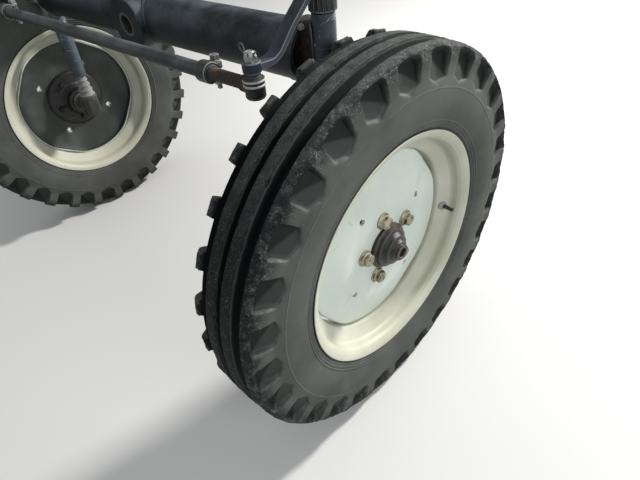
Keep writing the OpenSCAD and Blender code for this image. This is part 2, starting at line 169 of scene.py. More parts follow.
def roundedLine(corners, radius, steps=4, closed=False, support=1.5):
    # Each corner becomes an arc of the given radius, kept shorter than 0.45 of its two sides,
    # with a point a little before and after it so that wear stays near the edge.
    corners = [np.array(corner, float) for corner in corners]
    radii = radius if hasattr(radius, "__len__") else [radius] * len(corners)
    line = []
    for i, corner in enumerate(corners):
        if not closed and i in (0, len(corners) - 1):
            line.append(corner)
            continue
        before, after = corners[i - 1] - corner, corners[(i + 1) % len(corners)] - corner
        lengths = np.linalg.norm(before), np.linalg.norm(after)
        before, after = unit(before), unit(after)
        half = math.acos(max(-1, min(1, before @ after))) / 2
        if radii[i] <= 0 or half > 1.55:
            line.append(corner)
            continue
        back = min(radii[i] / math.tan(half), 0.45 * min(lengths))
        room = [min(support, 0.5 * (0.5 * length - back)) for length in lengths]
        centre = corner + unit(before + after) * back / math.cos(half)
        start, end = corner + before * back - centre, corner + after * back - centre
        if room[0] > 0.1:
            line.append(corner + before * (back + room[0]))
        for t in np.linspace(0, 1, steps + 1):
            line.append(centre + unit(start * (1 - t) + end * t) * np.linalg.norm(start))
        if room[1] > 0.1:
            line.append(corner + after * (back + room[1]))
    return np.array(line)


def lathe(line, count=64, shape=None, closed=True):
    # Every point (radius, height) of the line goes round the axis; shape changes the radius
    # from the angle and the radius. A radius of 0 closes to a pole when doubles are merged.
    angle = roundTurn(count)
    radius, height = np.repeat(line.T[:, :, None], count, 2)
    if shape is not None:
        radius = shape(angle[None, :], radius)
    return gridPart(np.stack([radius * np.cos(angle), radius * np.sin(angle), height], -1), closed)


def turned(profile, count=64, steps=3, shape=None, support=1.5):
    # A turned solid from rows of radius, height and rounding, which run from the axis back to
    # it, or round a bore in one closed line.
    onAxis = profile[0][0] == 0 and profile[-1][0] == 0
    line = roundedLine([row[:2] for row in profile], [row[2] for row in profile], steps, not onAxis, support)
    return lathe(line, count, shape, closed=not onAxis)


def ring(bore, radius, low, high, rounding=1.0, count=64, steps=3, shape=None):
    # The plainest turned solid, a tube or washer, or a disc where the bore is 0.
    soft = rounding if hasattr(rounding, "__len__") else [rounding] * 4
    corners = (bore, low), (radius, low), (radius, high), (bore, high)
    return turned([(*corner, r) for corner, r in zip(corners, soft)], count, steps, shape)


def hexHead(acrossFlats, height, base=0.0, bore=0.0):
    # A chamfered hexagon: a turned blank whose radius is cut down to half across flats over the
    # cosine of the angle from the middle of the nearest flat.
    corner, flatEdge = acrossFlats / 2 / math.cos(math.pi / 6), acrossFlats * 0.46
    top = base + height
    line = roundedLine([(bore, base), (corner, base), (corner, top - (corner - flatEdge) * 0.55),
                        (flatEdge, top), (bore, top)], [0, 0.4, 1.2, 1.0, 0], 2, support=0.8)
    dense = np.concatenate([np.linspace(a, b, 3)[:-1] for a, b in zip(line[:-1], line[1:])] + [line[-1:]])
    fromFlat = lambda angle: (angle + np.pi / 6) % (np.pi / 3) - np.pi / 6
    flats = lambda angle, radius: np.minimum(radius, acrossFlats / 2 / np.cos(fromFlat(angle)))
    return lathe(dense, 60, flats, closed=bore > 0)


def sweep(path, width, height, sideways, roundness=2.0, count=24):
    # A section of the given width and height, a superellipse of the given power, carried along
    # a path that lies square to the sideways direction. Width and height may change along it.
    # Both ends are closed by three shrinking rows, pushed out a little.
    path = np.array(path, float)
    shrink, push = np.array([0.0, 0.55, 0.85]), np.array([[1.0], [0.85], [0.5]])
    along = unit(np.gradient(path, axis=0))
    path, along = [np.concatenate([v[:1].repeat(3, 0), v, v[-1:].repeat(3, 0)]) for v in (path, along)]
    sizes = [np.broadcast_to(size, len(path) - 6).astype(float) for size in (width, height)]
    width, height = [np.concatenate([v[0] * shrink, v, v[-1] * shrink[::-1]]) for v in sizes]
    lift = 0.12 * np.minimum(width.max(), height.max())
    path[:3] -= along[:3] * lift * push
    path[-3:] += along[-3:] * lift * push[::-1]
    side = np.array(sideways, float)
    up = np.cross(side, along)
    across, over = [np.sign(wave) * np.abs(wave) ** (2.0 / roundness)
                    for wave in (np.cos(roundTurn(count)), np.sin(roundTurn(count)))]
    return gridPart(path[:, None, :] + across[None, :, None] * width[:, None, None] / 2 * side
                    + over[None, :, None] * height[:, None, None] / 2 * up[:, None, :])


def smoothPath(corners, radius, step=3.0):
    # Straight runs joined by arcs, with a point every few millimetres.
    line = roundedLine(corners, radius, 8, support=0)
    length = lengthsAlong(line)
    return pointsAt(np.linspace(0, length[-1], max(2, int(length[-1] / step) + 1)), length, line)


def weldBead(path, outwards, width=7.0, ripple=4.0, closed=True):
    # A flattened tube along the path, laid on the side that faces outwards. It swells once in
    # every ripple, and an open bead tapers to a point at both ends.
    path = np.array(path, float)
    along = unit(np.roll(path, -1, 0) - np.roll(path, 1, 0) if closed else np.gradient(path, axis=0))
    outwards = np.broadcast_to(np.array(outwards, float), path.shape)
    out = unit(outwards - (outwards * along).sum(1, keepdims=True) * along)
    side = np.cross(along, out)
    length = lengthsAlong(path)
    size = width / 2 * (0.94 + 0.16 * np.abs(np.sin(np.pi * length / ripple)))
    if not closed:
        size = size * np.sqrt(np.clip(np.minimum(length, length[-1] - length) / width, 0, 1))
    angle = roundTurn(12)[None, :, None]
    return gridPart(path[:, None, :] + size[:, None, None] * (
        np.cos(angle) * side[:, None, :] + 0.6 * np.sin(angle) * out[:, None, :]), closed)


def plate(outline, low, high, bevel=1.5, steps=3):
    # A flat solid between two heights. Its rows are the outline drawn in by a quarter circle at
    # both faces, and each face closes in its middle, so the outline has to be convex.
    outline = np.array(outline, float)
    middle = outline.mean(0)
    turn = np.linspace(0, np.pi / 2, steps + 1)
    inset = bevel * (1 - np.sin(np.concatenate([turn, turn[::-1]])))
    rise = bevel * (1 - np.cos(turn))
    height = np.concatenate([low + rise, high - rise[::-1]])
    rows = outline[None] - inset[:, None, None] * unit(outline - middle)[None]
    points = np.concatenate([rows, np.repeat(height[:, None, None], len(outline), 1)], -1)
    inner = lambda share, z: np.concatenate(
        [middle + (outline - middle) * share, np.full((len(outline), 1), z)], 1)[None]
    faces = [0, 0.5, 0.9 - bevel / 60]
    return gridPart(np.concatenate([inner(s, low) for s in faces] + [points]
                                   + [inner(s, high) for s in faces[::-1]]))


def arcBlock(corners, radius, start, end, steps=6):
    # A block between two angles: its rounded section, given as (radius, height), is carried round
    # the axis, and shrinks to its middle at both ends.
    line = roundedLine(corners, radius, 2, closed=True, support=0)
    middle = line.mean(0)
    share = np.concatenate([[0, 0.85], np.ones(steps), [0.85, 0]])
    angle = np.radians(np.concatenate([[start, start], np.linspace(start + 1, end - 1, steps), [end, end]]))
    reach, height = np.moveaxis(middle + (line - middle) * share[:, None, None], -1, 0)
    return gridPart(np.stack([reach * np.cos(angle)[:, None], reach * np.sin(angle)[:, None], height], -1))


# Pieces

def addWearValues(mesh):
    # "edge": the sharpest outward bend at a point, per millimetre: twice the rise over each
    # neighbour along the normal, divided by the squared distance. "facingUp": the normal's height.
    ends = np.empty(len(mesh.edges) * 2, np.int32)
    mesh.edges.foreach_get("vertices", ends)
    a, b = ends.reshape(-1, 2).T
    co, normal = np.empty((2, len(mesh.vertices) * 3), np.float32)
    mesh.vertices.foreach_get("co", co)
    mesh.vertices.foreach_get("normal", normal)
    co, normal = co.reshape(-1, 3).astype(float), normal.reshape(-1, 3).astype(float)
    step = co[b] - co[a]
    square = np.maximum((step ** 2).sum(1), 1e-9)
    bend = np.zeros(len(co))
    np.maximum.at(bend, a, -2 * (normal[a] * step).sum(1) / square * metre)
    np.maximum.at(bend, b, 2 * (normal[b] * step).sum(1) / square * metre)
    addValues(mesh, {"edge": np.clip(bend * 2.0 - 0.15, 0, 1), "facingUp": normal[:, 2]})


def addValues(mesh, values):
    # One number per point under each name, for the materials to read.
    for key, value in values.items():
        mesh.attributes.new(key, "FLOAT", "POINT").data.foreach_set("value", value.astype(np.float32))


def makePiece(name, parts, place, body, finish, replaces, sharp=38.0):
    # The parts, in millimetres in their own frame, become one closed mesh in the part's frame.
    part = joined(parts)
    points = part["points"] * metre @ place[:, :3].T + place[:, 3]
    mesh = bpy.data.meshes.new(name)
    mesh.vertices.add(len(points))
    mesh.vertices.foreach_set("co", points.astype(np.float32).reshape(-1))
    corners = np.concatenate([part["quads"].reshape(-1), part["triangles"].reshape(-1)])
    sizes = np.repeat([4, 3], [len(part["quads"]), len(part["triangles"])])
    mesh.loops.add(len(corners))
    mesh.loops.foreach_set("vertex_index", corners.astype(np.int32))
    mesh.polygons.add(len(sizes))
    mesh.polygons.foreach_set("loop_start", (np.cumsum(sizes) - sizes).astype(np.int32))
    mesh.update(calc_edges=True)
    addValues(mesh, part["values"])
    work = bmesh.new()
    work.from_mesh(mesh)
    bmesh.ops.remove_doubles(work, verts=work.verts, dist=2e-6)
    bmesh.ops.dissolve_degenerate(work, edges=work.edges, dist=1e-6)
    bmesh.ops.recalc_face_normals(work, faces=work.faces)
    work.to_mesh(mesh)
    work.free()
    mesh.shade_smooth()
    mesh.set_sharp_from_angle(angle=math.radians(sharp))
    addWearValues(mesh)
    piece = bpy.data.objects.new(name, mesh)
    bpy.context.scene.collection.objects.link(piece)
    mesh.materials.append(finishes[finish])
    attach(piece, body)
    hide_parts(*replaces)


def makeBoth(name, parts, where, finish, replaced=None, sharp=38.0):
    # The same piece on both sides, in the frame that where names and on the body that rides in it.
    for side in sides:
        makePiece(f"{name}_{side}", parts, frames[side][where], frameBodies[where].format(side), finish,
                  [f"{replaced}_{side}"] if replaced else [], sharp)


# Shader building

def tone(red, green, blue):
    # A screen colour of 0 to 255 as the linear colour that shaders use.
    share = np.array([red, green, blue]) / 255
    linear = np.where(share <= 0.04045, share / 12.92, ((share + 0.055) / 1.055) ** 2.4)
    return (*[float(v) for v in linear], 1.0)


class Wiring:
    # Adds nodes to one shader tree. A value is a number, a colour or another node's output.
    def __init__(self, tree):
        self.tree = tree

    def feed(self, socket, value):
        if isinstance(value, bpy.types.NodeSocket):
            self.tree.links.new(value, socket)
        else:
            socket.default_value = value

    def add(self, kind, values=None, **settings):
        node = self.tree.nodes.new("ShaderNode" + kind)
        for key, value in settings.items():
            setattr(node, key, value)
        for key, value in (values or {}).items():
            self.feed(node.inputs[key], value)
        return node.outputs

    def maths(self, operation, first, second=0.0, clamp=False):
        return self.add("Math", {0: first, 1: second}, operation=operation, use_clamp=clamp)[0]

    def plus(self, first, second):
        return self.maths("ADD", first, second)

    def minus(self, first, second):
        return self.maths("SUBTRACT", first, second)

    def times(self, first, second, clamp=False):
        return self.maths("MULTIPLY", first, second, clamp)

    def most(self, first, second):
        return self.maths("MAXIMUM", first, second)

    def mix(self, factor, first, second):
        return self.add("Mix", {0: factor, 6: first, 7: second}, data_type="RGBA")[2]

    def between(self, value, low, high, toLow=0.0, toHigh=1.0, how="SMOOTHSTEP"):
        values = {0: value, 1: low, 2: high, 3: toLow, 4: toHigh}
        return self.add("MapRange", values, interpolation_type=how)[0]

    def noise(self, vector, scale, detail=3.0, roughness=0.55, distortion=0.0):
        return self.add("TexNoise", {"Vector": vector, "Scale": scale, "Detail": detail,
                                     "Roughness": roughness, "Distortion": distortion})[0]

    def group(self, tree, **values):
        return self.add("Group", values, node_tree=tree)

    def bump(self, height, depth):
        return self.add("Bump", {"Height": height, "Distance": depth, "Strength": 1.0})[0]


def newGroup(name, inputs, outputs):
    # A node group with named sockets: an input's start value, or None for a vector, and an
    # output's kind.
    tree = bpy.data.node_groups.new(name, "ShaderNodeTree")
    for label, value in inputs.items():
        kind = "NodeSocketVector" if value is None else "NodeSocketFloat"
        socket = tree.interface.new_socket(name=label, in_out="INPUT", socket_type=kind)
        if value is not None:
            socket.default_value = value
    for label, kind in outputs.items():
        tree.interface.new_socket(name=label, in_out="OUTPUT", socket_type="NodeSocket" + kind)
    return Wiring(tree), tree.nodes.new("NodeGroupInput").outputs, tree.nodes.new("NodeGroupOutput").inputs


def edgeWearGroup():
    # Wear is the outward bend, broken up by noise.
    w, given, out = newGroup("edgeWear", {"Vector": None, "Edge": 0.0, "Scale": 90.0, "Amount": 0.5},
                             {"Mask": "Float"})
    rough = w.noise(given["Vector"], given["Scale"], 4.0, 0.65)
    worn = w.times(given["Edge"], w.plus(rough, given["Amount"]))
    w.feed(out["Mask"], w.between(worn, 0.42, 0.75))
    return w.tree


def dustAndTopLightGroup():
    # Dust lies where the surface faces up, in cloudy patches. On some finishes the same mask is a painted
    # highlight along the top.
    w, given, out = newGroup("dust", {"Vector": None, "Up": 0.0, "Scale": 14.0, "Amount": 0.5},
                             {"Mask": "Float"})
    cloud = w.noise(given["Vector"], given["Scale"], 5.0, 0.6)
    lying = w.times(w.between(given["Up"], -0.3, 1.0), given["Amount"])
    w.feed(out["Mask"], w.times(lying, w.between(cloud, 0.3, 0.75), clamp=True))
    return w.tree


def rustGroup():
    # Rust is two noises multiplied, cut at a level; its colour runs from dark brown to orange.
    w, given, out = newGroup("rust", {"Vector": None, "Scale": 30.0, "Amount": 0.4},
                             {"Mask": "Float", "Color": "Color"})
    large = w.noise(given["Vector"], given["Scale"], 6.0, 0.7)
    small = w.noise(given["Vector"], w.times(given["Scale"], 7.0), 3.0, 0.6)
    level = w.minus(1.0, given["Amount"])
    w.feed(out["Mask"], w.between(w.plus(large, w.times(small, 0.25)), level, w.plus(level, 0.12)))
    dark = w.mix(w.between(small, 0.3, 0.7), tone(44, 34, 28), tone(80, 58, 44))
    w.feed(out["Color"], w.mix(w.between(large, 0.55, 0.75), dark, tone(116, 82, 58)))
    return w.tree


def scratchGroup():
    # A scratch is where a stretched noise crosses its middle value: thin wandering lines.
    w, given, out = newGroup("scratches", {"Vector": None, "Scale": 12.0, "Width": 0.006, "Amount": 0.5},
                             {"Mask": "Float"})
    stretched = w.add("Mapping", {"Vector": given["Vector"], "Rotation": (0.4, 0.7, 0.2),
                                  "Scale": (1.0, 0.22, 1.0)})[0]
    line = w.noise(stretched, given["Scale"], 1.5, 0.5, 0.6)
    thin = w.between(w.maths("ABSOLUTE", w.minus(line, 0.5)), 0.0, given["Width"], 1.0, 0.0)
    where = w.noise(given["Vector"], w.times(given["Scale"], 1.7), 2.0)
    level = w.minus(1.0, given["Amount"])
    w.feed(out["Mask"], w.times(thin, w.between(where, level, w.plus(level, 0.1))))
    return w.tree


edgeWear, dust, rust, scratches = edgeWearGroup(), dustAndTopLightGroup(), rustGroup(), scratchGroup()


def newMaterial(name):
    # A material with a Principled shader: its wiring, its sockets, coordinates and point values.
    finishes[name] = bpy.data.materials.new(name)
    finishes[name].use_nodes = True
    w = Wiring(finishes[name].node_tree)
    shader = next(node for node in w.tree.nodes if node.type == "BSDF_PRINCIPLED").inputs
    read = lambda label: w.add("Attribute", attribute_name=label)["Fac"]
    return w, shader, w.add("TexCoord")["Object"], read


def addFinish(name, base, **changes):
    # Paint with broad fading, edge wear down to a worn colour, scratches, rust and dust; on the beam and the
    # tie rod's tube the dust is partly a painted highlight along the top. Where a piece marks them, a painted
    # lit side and painted shade on the back are added. It gives back its look, for finishes that differ a
    # little from it.
    look = dict(base, **changes)
    coat = SimpleNamespace(**look)
    w, shader, vector, read = newMaterial(name)
    broad = w.noise(vector, coat.fadeScale, 5.0, 0.6)
    fine = w.noise(vector, 420.0, 4.0, 0.7)
    colour = w.mix(w.between(broad, 0.35, 0.7), tone(*coat.paint), tone(*coat.faded))
    amount = w.plus(coat.rustAmount, w.times(read("rusted"), 0.32))
    rusty = w.group(rust, Vector=vector, Scale=coat.rustScale, Amount=amount)
    worn = w.group(edgeWear, Vector=vector, Edge=read("edge"), Scale=coat.wearScale,
                   Amount=coat.wearAmount)["Mask"]
    scratch = w.group(scratches, Vector=vector, Scale=coat.scratchScale, Amount=coat.scratchAmount)["Mask"]
    # Dust on what faces up; on the beam and the tie rod's tube it is partly a painted highlight along the
    # top.
    dusty = w.group(dust, Vector=vector, Up=read("facingUp"), Amount=coat.dustAmount)["Mask"]
    # A painted lit side, paler and partly worn, where a piece marks it: the steering arm's face towards the
    # wheel.
    pale = w.times(read("pale"), w.between(broad, 0.3, 0.6, 0.35, 0.8))
    # Painted shade on the back of the disc and on the bolt shanks behind it.
    backShaded = w.times(read("grime"), w.between(broad, 0.2, 0.6, 0.93, 1.0))
    for mask, over in ((pale, tone(*coat.worn)), (rusty["Mask"], rusty["Color"]), (worn, tone(*coat.worn)),
                       (w.times(scratch, coat.scratchShow), tone(*coat.scratch)),
                       (dusty, tone(*coat.dust)), (backShaded, tone(*coat.grime))):
        colour = w.mix(mask, colour, over)
    w.feed(shader["Base Color"], colour)
    dull = w.most(w.most(rusty["Mask"], dusty), worn)
    matt = w.between(dull, 0.0, 1.0, coat.roughness, coat.dullRoughness, "LINEAR")
    w.feed(shader["Roughness"], w.plus(w.times(fine, 0.12), matt))
    shader["Metallic"].default_value = coat.metal
    shader["Specular IOR Level"].default_value = coat.specular
    relief = w.minus(w.plus(w.times(fine, coat.grain), w.times(dull, coat.lift)), w.times(scratch, 0.3))
    w.feed(shader["Normal"], w.bump(relief, 0.0006))
    return look


finishes = {}
plain = dict(fadeScale=9.0, rustScale=22.0, rustAmount=0.28, wearScale=150.0, wearAmount=0.35,
             scratchScale=14.0, scratchAmount=0.42, scratchShow=0.6, dustAmount=0.35, roughness=0.34,
             dullRoughness=0.72, grain=0.25, lift=0.5, metal=0.0, specular=0.4, grime=(30, 29, 27))
# The beam's bluish dust on its top is partly dust, partly a painted highlight along the top.
beam = addFinish(
    "beamPaint", plain, paint=(15, 20, 25), faded=(24, 31, 37), worn=(66, 72, 76), scratch=(110, 116, 122),
    dust=(104, 114, 122), dustAmount=0.85, wearAmount=0.2, rustAmount=0.22, roughness=0.42, specular=0.2)
addFinish("armPaint", plain, paint=(19, 25, 34), faded=(34, 42, 53), worn=(120, 128, 134),
          scratch=(130, 138, 148), dust=(104, 114, 120), wearAmount=0.38, roughness=0.4, rustAmount=0.2,
          dustAmount=0.5, specular=0.3)
addFinish("housingPaint", beam, paint=(58, 66, 76), faded=(92, 102, 110), scratch=(196, 200, 204),
          scratchAmount=0.56, scratchScale=34.0, scratchShow=0.8, dustAmount=0.3, specular=0.4)
# On the tie rod's tube the dust is a painted highlight along the top.
addFinish("tubePaint", beam, paint=(18, 23, 30), faded=(30, 37, 44), dust=(130, 136, 134),
          dustAmount=0.6, specular=0.4)
rim = addFinish(
    "rimPaint", plain, paint=(182, 183, 165), faded=(196, 197, 182), worn=(214, 212, 198),
    scratch=(160, 156, 140), dust=(182, 176, 156), rustAmount=0.2, rustScale=10.0, wearAmount=0.3,
    scratchShow=0.25, roughness=0.38, dullRoughness=0.6, grain=0.12, dustAmount=0.4, lift=0.15)
addFinish("discPaint", rim, paint=(206, 217, 209), faded=(216, 224, 214), worn=(194, 194, 182),
          scratch=(168, 170, 160), dust=(190, 190, 178), dustAmount=0.2, rustAmount=0.18, grime=(50, 54, 52))
addFinish("zincFinish", plain, paint=(142, 136, 108), faded=(172, 166, 140), worn=(206, 202, 186),
          scratch=(110, 100, 80), dust=(140, 126, 96), metal=0.5, roughness=0.36, rustAmount=0.38,
          rustScale=60.0, dustAmount=0.3)
forged = addFinish(
    "forgedBlack", plain, paint=(26, 27, 30), faded=(44, 45, 47), worn=(96, 94, 92), scratch=(120, 120, 120),
    dust=(104, 98, 88), rustAmount=0.36, rustScale=30.0, roughness=0.42)
addFinish("hubBlack", forged, rustAmount=0.12, paint=(22, 23, 25), faded=(34, 35, 37), roughness=0.3,
          dustAmount=0.25)
addFinish("noseBlack", forged, paint=(11, 12, 14), faded=(22, 24, 27), worn=(84, 76, 70), rustAmount=0.22,
          rustScale=48.0, roughness=0.24, dullRoughness=0.5, dustAmount=0.1, wearAmount=0.4, grain=1.2,
          specular=0.5)
addFinish("dullSteel", forged, paint=(70, 71, 70), faded=(92, 93, 91), metal=0.5, rustAmount=0.3)
addFinish("greasyBlack", forged, paint=(20, 21, 23), faded=(34, 34, 35), worn=(120, 122, 122),
          rustAmount=0.24, roughness=0.28, dullRoughness=0.6, wearAmount=0.5, grain=0.5)
addFinish("greyForging", forged, paint=(46, 48, 42), faded=(72, 74, 66), worn=(120, 120, 110),
          rustAmount=0.26, dustAmount=0.4, roughness=0.5, grain=0.6)
addFinish("rustyPlate", forged, paint=(38, 34, 30), faded=(58, 50, 42), rustAmount=0.44, rustScale=18.0,
          roughness=0.6, dustAmount=0.3)
addFinish("blackRubber", forged, paint=(24, 24, 25), faded=(40, 40, 41), worn=(58, 58, 58), rustAmount=0.1,
          roughness=0.55, scratchShow=0.2)
addFinish("rustyForged", forged, paint=(30, 29, 28), faded=(50, 46, 42), rustAmount=0.4,
          worn=(120, 96, 76), roughness=0.6)
addFinish("brightFinish", plain, paint=(128, 130, 130), faded=(160, 161, 160), worn=(198, 198, 196),
          scratch=(96, 92, 86), dust=(140, 134, 122), metal=0.7, roughness=0.32, rustAmount=0.3,
          rustScale=70.0, dustAmount=0.2)
addFinish("paleRubber", plain, paint=(118, 119, 118), faded=(156, 157, 154), worn=(176, 177, 174),
          scratch=(84, 84, 82), dust=(138, 136, 128), roughness=0.62, rustAmount=0.08, dustAmount=0.5)

# The groove colour paints shade in the grooves and the pockets' painted shadow; the near-black pit colour
# paints shade in the grain's tiny pits.
rubberLook = dict(rubber=(69, 71, 68), pale=(88, 90, 86), rib=(25, 30, 31), groove=(13, 17, 19),
                  dusty=(50, 53, 51), chalk=(88, 90, 86), crumb=(140, 143, 138), crack=(128, 127, 120),
                  pit=(9, 11, 12), land=(36, 41, 41), dust=(88, 92, 90))


def makeTyreRubber():
    # Dark rubber: speckled ribs with painted shade in their pits, chalky shoulders with pale crumbs, bluish
    # painted shade in the grooves, dusty pocket floors with a painted shadow over their upper end and a
    # painted highlight along their lower lips, fine cracks in the sidewall, and a tread that is lighter where
    # it faces up, partly dust and partly painted light.
    look = SimpleNamespace(**{name: tone(*colour) for name, colour in rubberLook.items()})
    w, shader, vector, read = newMaterial("tyreRubber")
    tread, chalk, up = read("tread"), read("chalk"), read("facingUp")
    broad = w.noise(vector, 7.0, 4.0, 0.6)
    middle = w.noise(vector, 60.0, 5.0, 0.7)
    fine = w.noise(vector, 520.0, 4.0, 0.75)
    grains = w.noise(vector, 400.0, 2.5, 0.65)
    worked = w.most(tread, chalk)
    chalky = w.times(chalk, w.between(middle, 0.44, 0.66), clamp=True)
    # The worked rubber is lighter where it faces up: partly dust, partly painted light on the tops.
    dustAndTopLightOnTread = w.times(worked, w.between(up, 0.45, 1.0))
    crumbs = w.times(w.between(grains, 0.57, 0.66),
                     w.times(w.between(middle, 0.4, 0.62), w.most(w.times(tread, 0.6), chalk)), clamp=True)
    # Painted shade: near-black speckles where the grain's bump is lowest.
    pitShadeMask = w.times(w.between(grains, 0.4, 0.33), worked, clamp=True)
    lying = w.mix(w.between(up, 0.1, 0.75), look.dusty, look.dust)
    chips = w.group(edgeWear, Vector=vector, Edge=read("edge"), Scale=90.0, Amount=0.05)["Mask"]
    # A painted highlight along the pockets' edges.
    lipHighlights = w.times(read("lip"), w.between(middle, 0.42, 0.66, 0.0, 0.4))
    cracks = w.group(scratches, Vector=vector, Scale=9.0, Width=0.003, Amount=0.36)["Mask"]
    colour = look.rubber
    for mask, over in (
            (w.between(broad, 0.3, 0.72), look.pale), (w.times(chalk, 0.9), look.land), (tread, look.rib),
            (w.times(chalky, 0.7), look.chalk),
            (w.times(dustAndTopLightOnTread, w.between(middle, 0.3, 0.6, 0.35, 0.9)), look.dust), (crumbs, look.crumb),
            (w.times(pitShadeMask, 0.8), look.pit),
            (w.times(read("floor"), w.between(fine, 0.3, 0.8, 0.6, 1.0)), lying),
            # Painted shade: dark in the grooves by their depth, and a painted shadow over each pocket's upper
            # end.
            (w.most(w.between(read("deep"), 0.03, 0.4), w.times(read("hollow"), 0.9)), look.groove),
            (w.most(w.times(chips, 0.45), lipHighlights), look.crumb), (w.times(cracks, 0.5), look.crack)):
        colour = w.mix(mask, colour, over)
    w.feed(shader["Base Color"], colour)
    w.feed(shader["Roughness"], w.plus(w.times(fine, 0.2), 0.58))
    shader["Specular IOR Level"].default_value = 0.2
    relief = w.plus(w.times(fine, 0.3), w.times(w.times(grains, worked), 2.2))
    w.feed(shader["Normal"], w.bump(w.minus(relief, w.times(cracks, 0.6)), 0.0012))


makeTyreRubber()
print("materials made")


# Wheels

def nodeRadius(node, place):
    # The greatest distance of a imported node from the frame's Z axis, in millimetres.
    mesh = frame["nodes"][node].data
    co = np.empty(len(mesh.vertices) * 3, np.float32)
    mesh.vertices.foreach_get("co", co)
    local = (co.reshape(-1, 3) - place[:, 3]) @ place[:, :3] / metre
    return np.hypot(local[:, 0], local[:, 1]).max()


tyreLook = dict(
    pockets=28, pocketPhase=2.2, columnsPerPocket=20,   # the inner side is half a pitch on
    crownDrop=2.5, crownEdge=61.0, shoulderDrop=10.5, shoulderEdge=70.5, landTop=53.0, grooveDepth=15.0,
    ribHeights=[(0, 1), (3, 1), (4.5, .93), (6, .5), (7.2, .15), (8, .02), (8.8, 0), (12, 0), (16.5, 0),
                (21, 0), (25, 0), (28.2, 0), (29, .02), (30.2, .12), (32, .45), (34, .82), (36, 1), (39, 1),
                (43, 1), (46, 1), (48, .82), (50, .45), (51.8, .12), (53, .02), (53.8, 0), (57, 0), (60.5, 0),
                (63.5, 0), (66.3, 0)],   # distance from the middle, share of the groove's depth
    pocketRows=[0, .02, .045, .08, .12, .17, .23, .3, .37, .44, .51, .58, .65, .71, .77, .83, .89, .95, 1],
    pocketTop=68.3, pocketTip=327.0, pocketHalfWidth=28.0, archLength=10.0, tipLength=14.0,
    innerPocketTop=52.5, innerFloorTop=(377.0, 52.5),   # the inner pockets open into the groove
    floorTop=(375.5, 58.5), floorTip=(330.0, 71.2), floorColumns=4, wallRun=3.2, lip=1.3,
    # Where the pocket's painted shadow ends, how far its edge leans and how soft the edge is.
    pocketTaper=0.12, hollowEnd=0.42, hollowLean=0.45, hollowFade=0.12,   # shares of the pocket's length
    ribRagged=0.3, landRagged=0.45, chipDepth=3.2, mostChipped=3.0,
    rings=[321.5], beadRings=[264.0, 258.5, 253.0], flangeRadius=246.0,
    sideRadius=308.6, sideReach=107.6, halfWidth=77.0, sideDrop=22.0, sideStart=73.8, sideTurn=73.0,
    outlineStep=0.25,
    bead=[(246.6, 61.2), (243.2, 60.6), (237.4, 58.0), (232.6, 53.4), (230.2, 47.6), (229.1, 42.0)],
    lining=[(246, 46), (262, 57), (285, 63), (308, 64), (332, 61), (352, 54)], treadThickness=26.0)


def tyreOutline(look, radius):
    # Half the outer section as (radius, height) from the crown's middle to the bead, in even
    # steps: a domed crown, a rounded shoulder, and an ellipse for the sidewall.
    z = np.linspace(0, look.landTop + 2, 60)
    crown = np.stack([radius - look.crownDrop * (z / look.crownEdge) ** 2, z], -1)
    high = math.acos((look.flangeRadius + 3 - look.sideRadius) / look.sideReach)
    turn = np.linspace(math.radians(look.sideTurn), high, 120)
    side = np.stack([look.sideRadius + look.sideReach * np.cos(turn), look.halfWidth * np.sin(turn)], -1)
    shoulder = roundedLine(
        [crown[-1], (radius - look.crownDrop - 0.3, look.crownEdge + 2),
         (radius - look.shoulderDrop, look.shoulderEdge), (radius - look.sideDrop, look.sideStart), side[0]],
        [0, 5, 7, 14, 0], 8, support=0)
    line = np.concatenate([crown[:-1], shoulder[:-1], side, look.bead])
    length = lengthsAlong(line)
    at = np.linspace(0, length[-1], int(length[-1] / look.outlineStep))
    return pointsAt(at, length, line), at


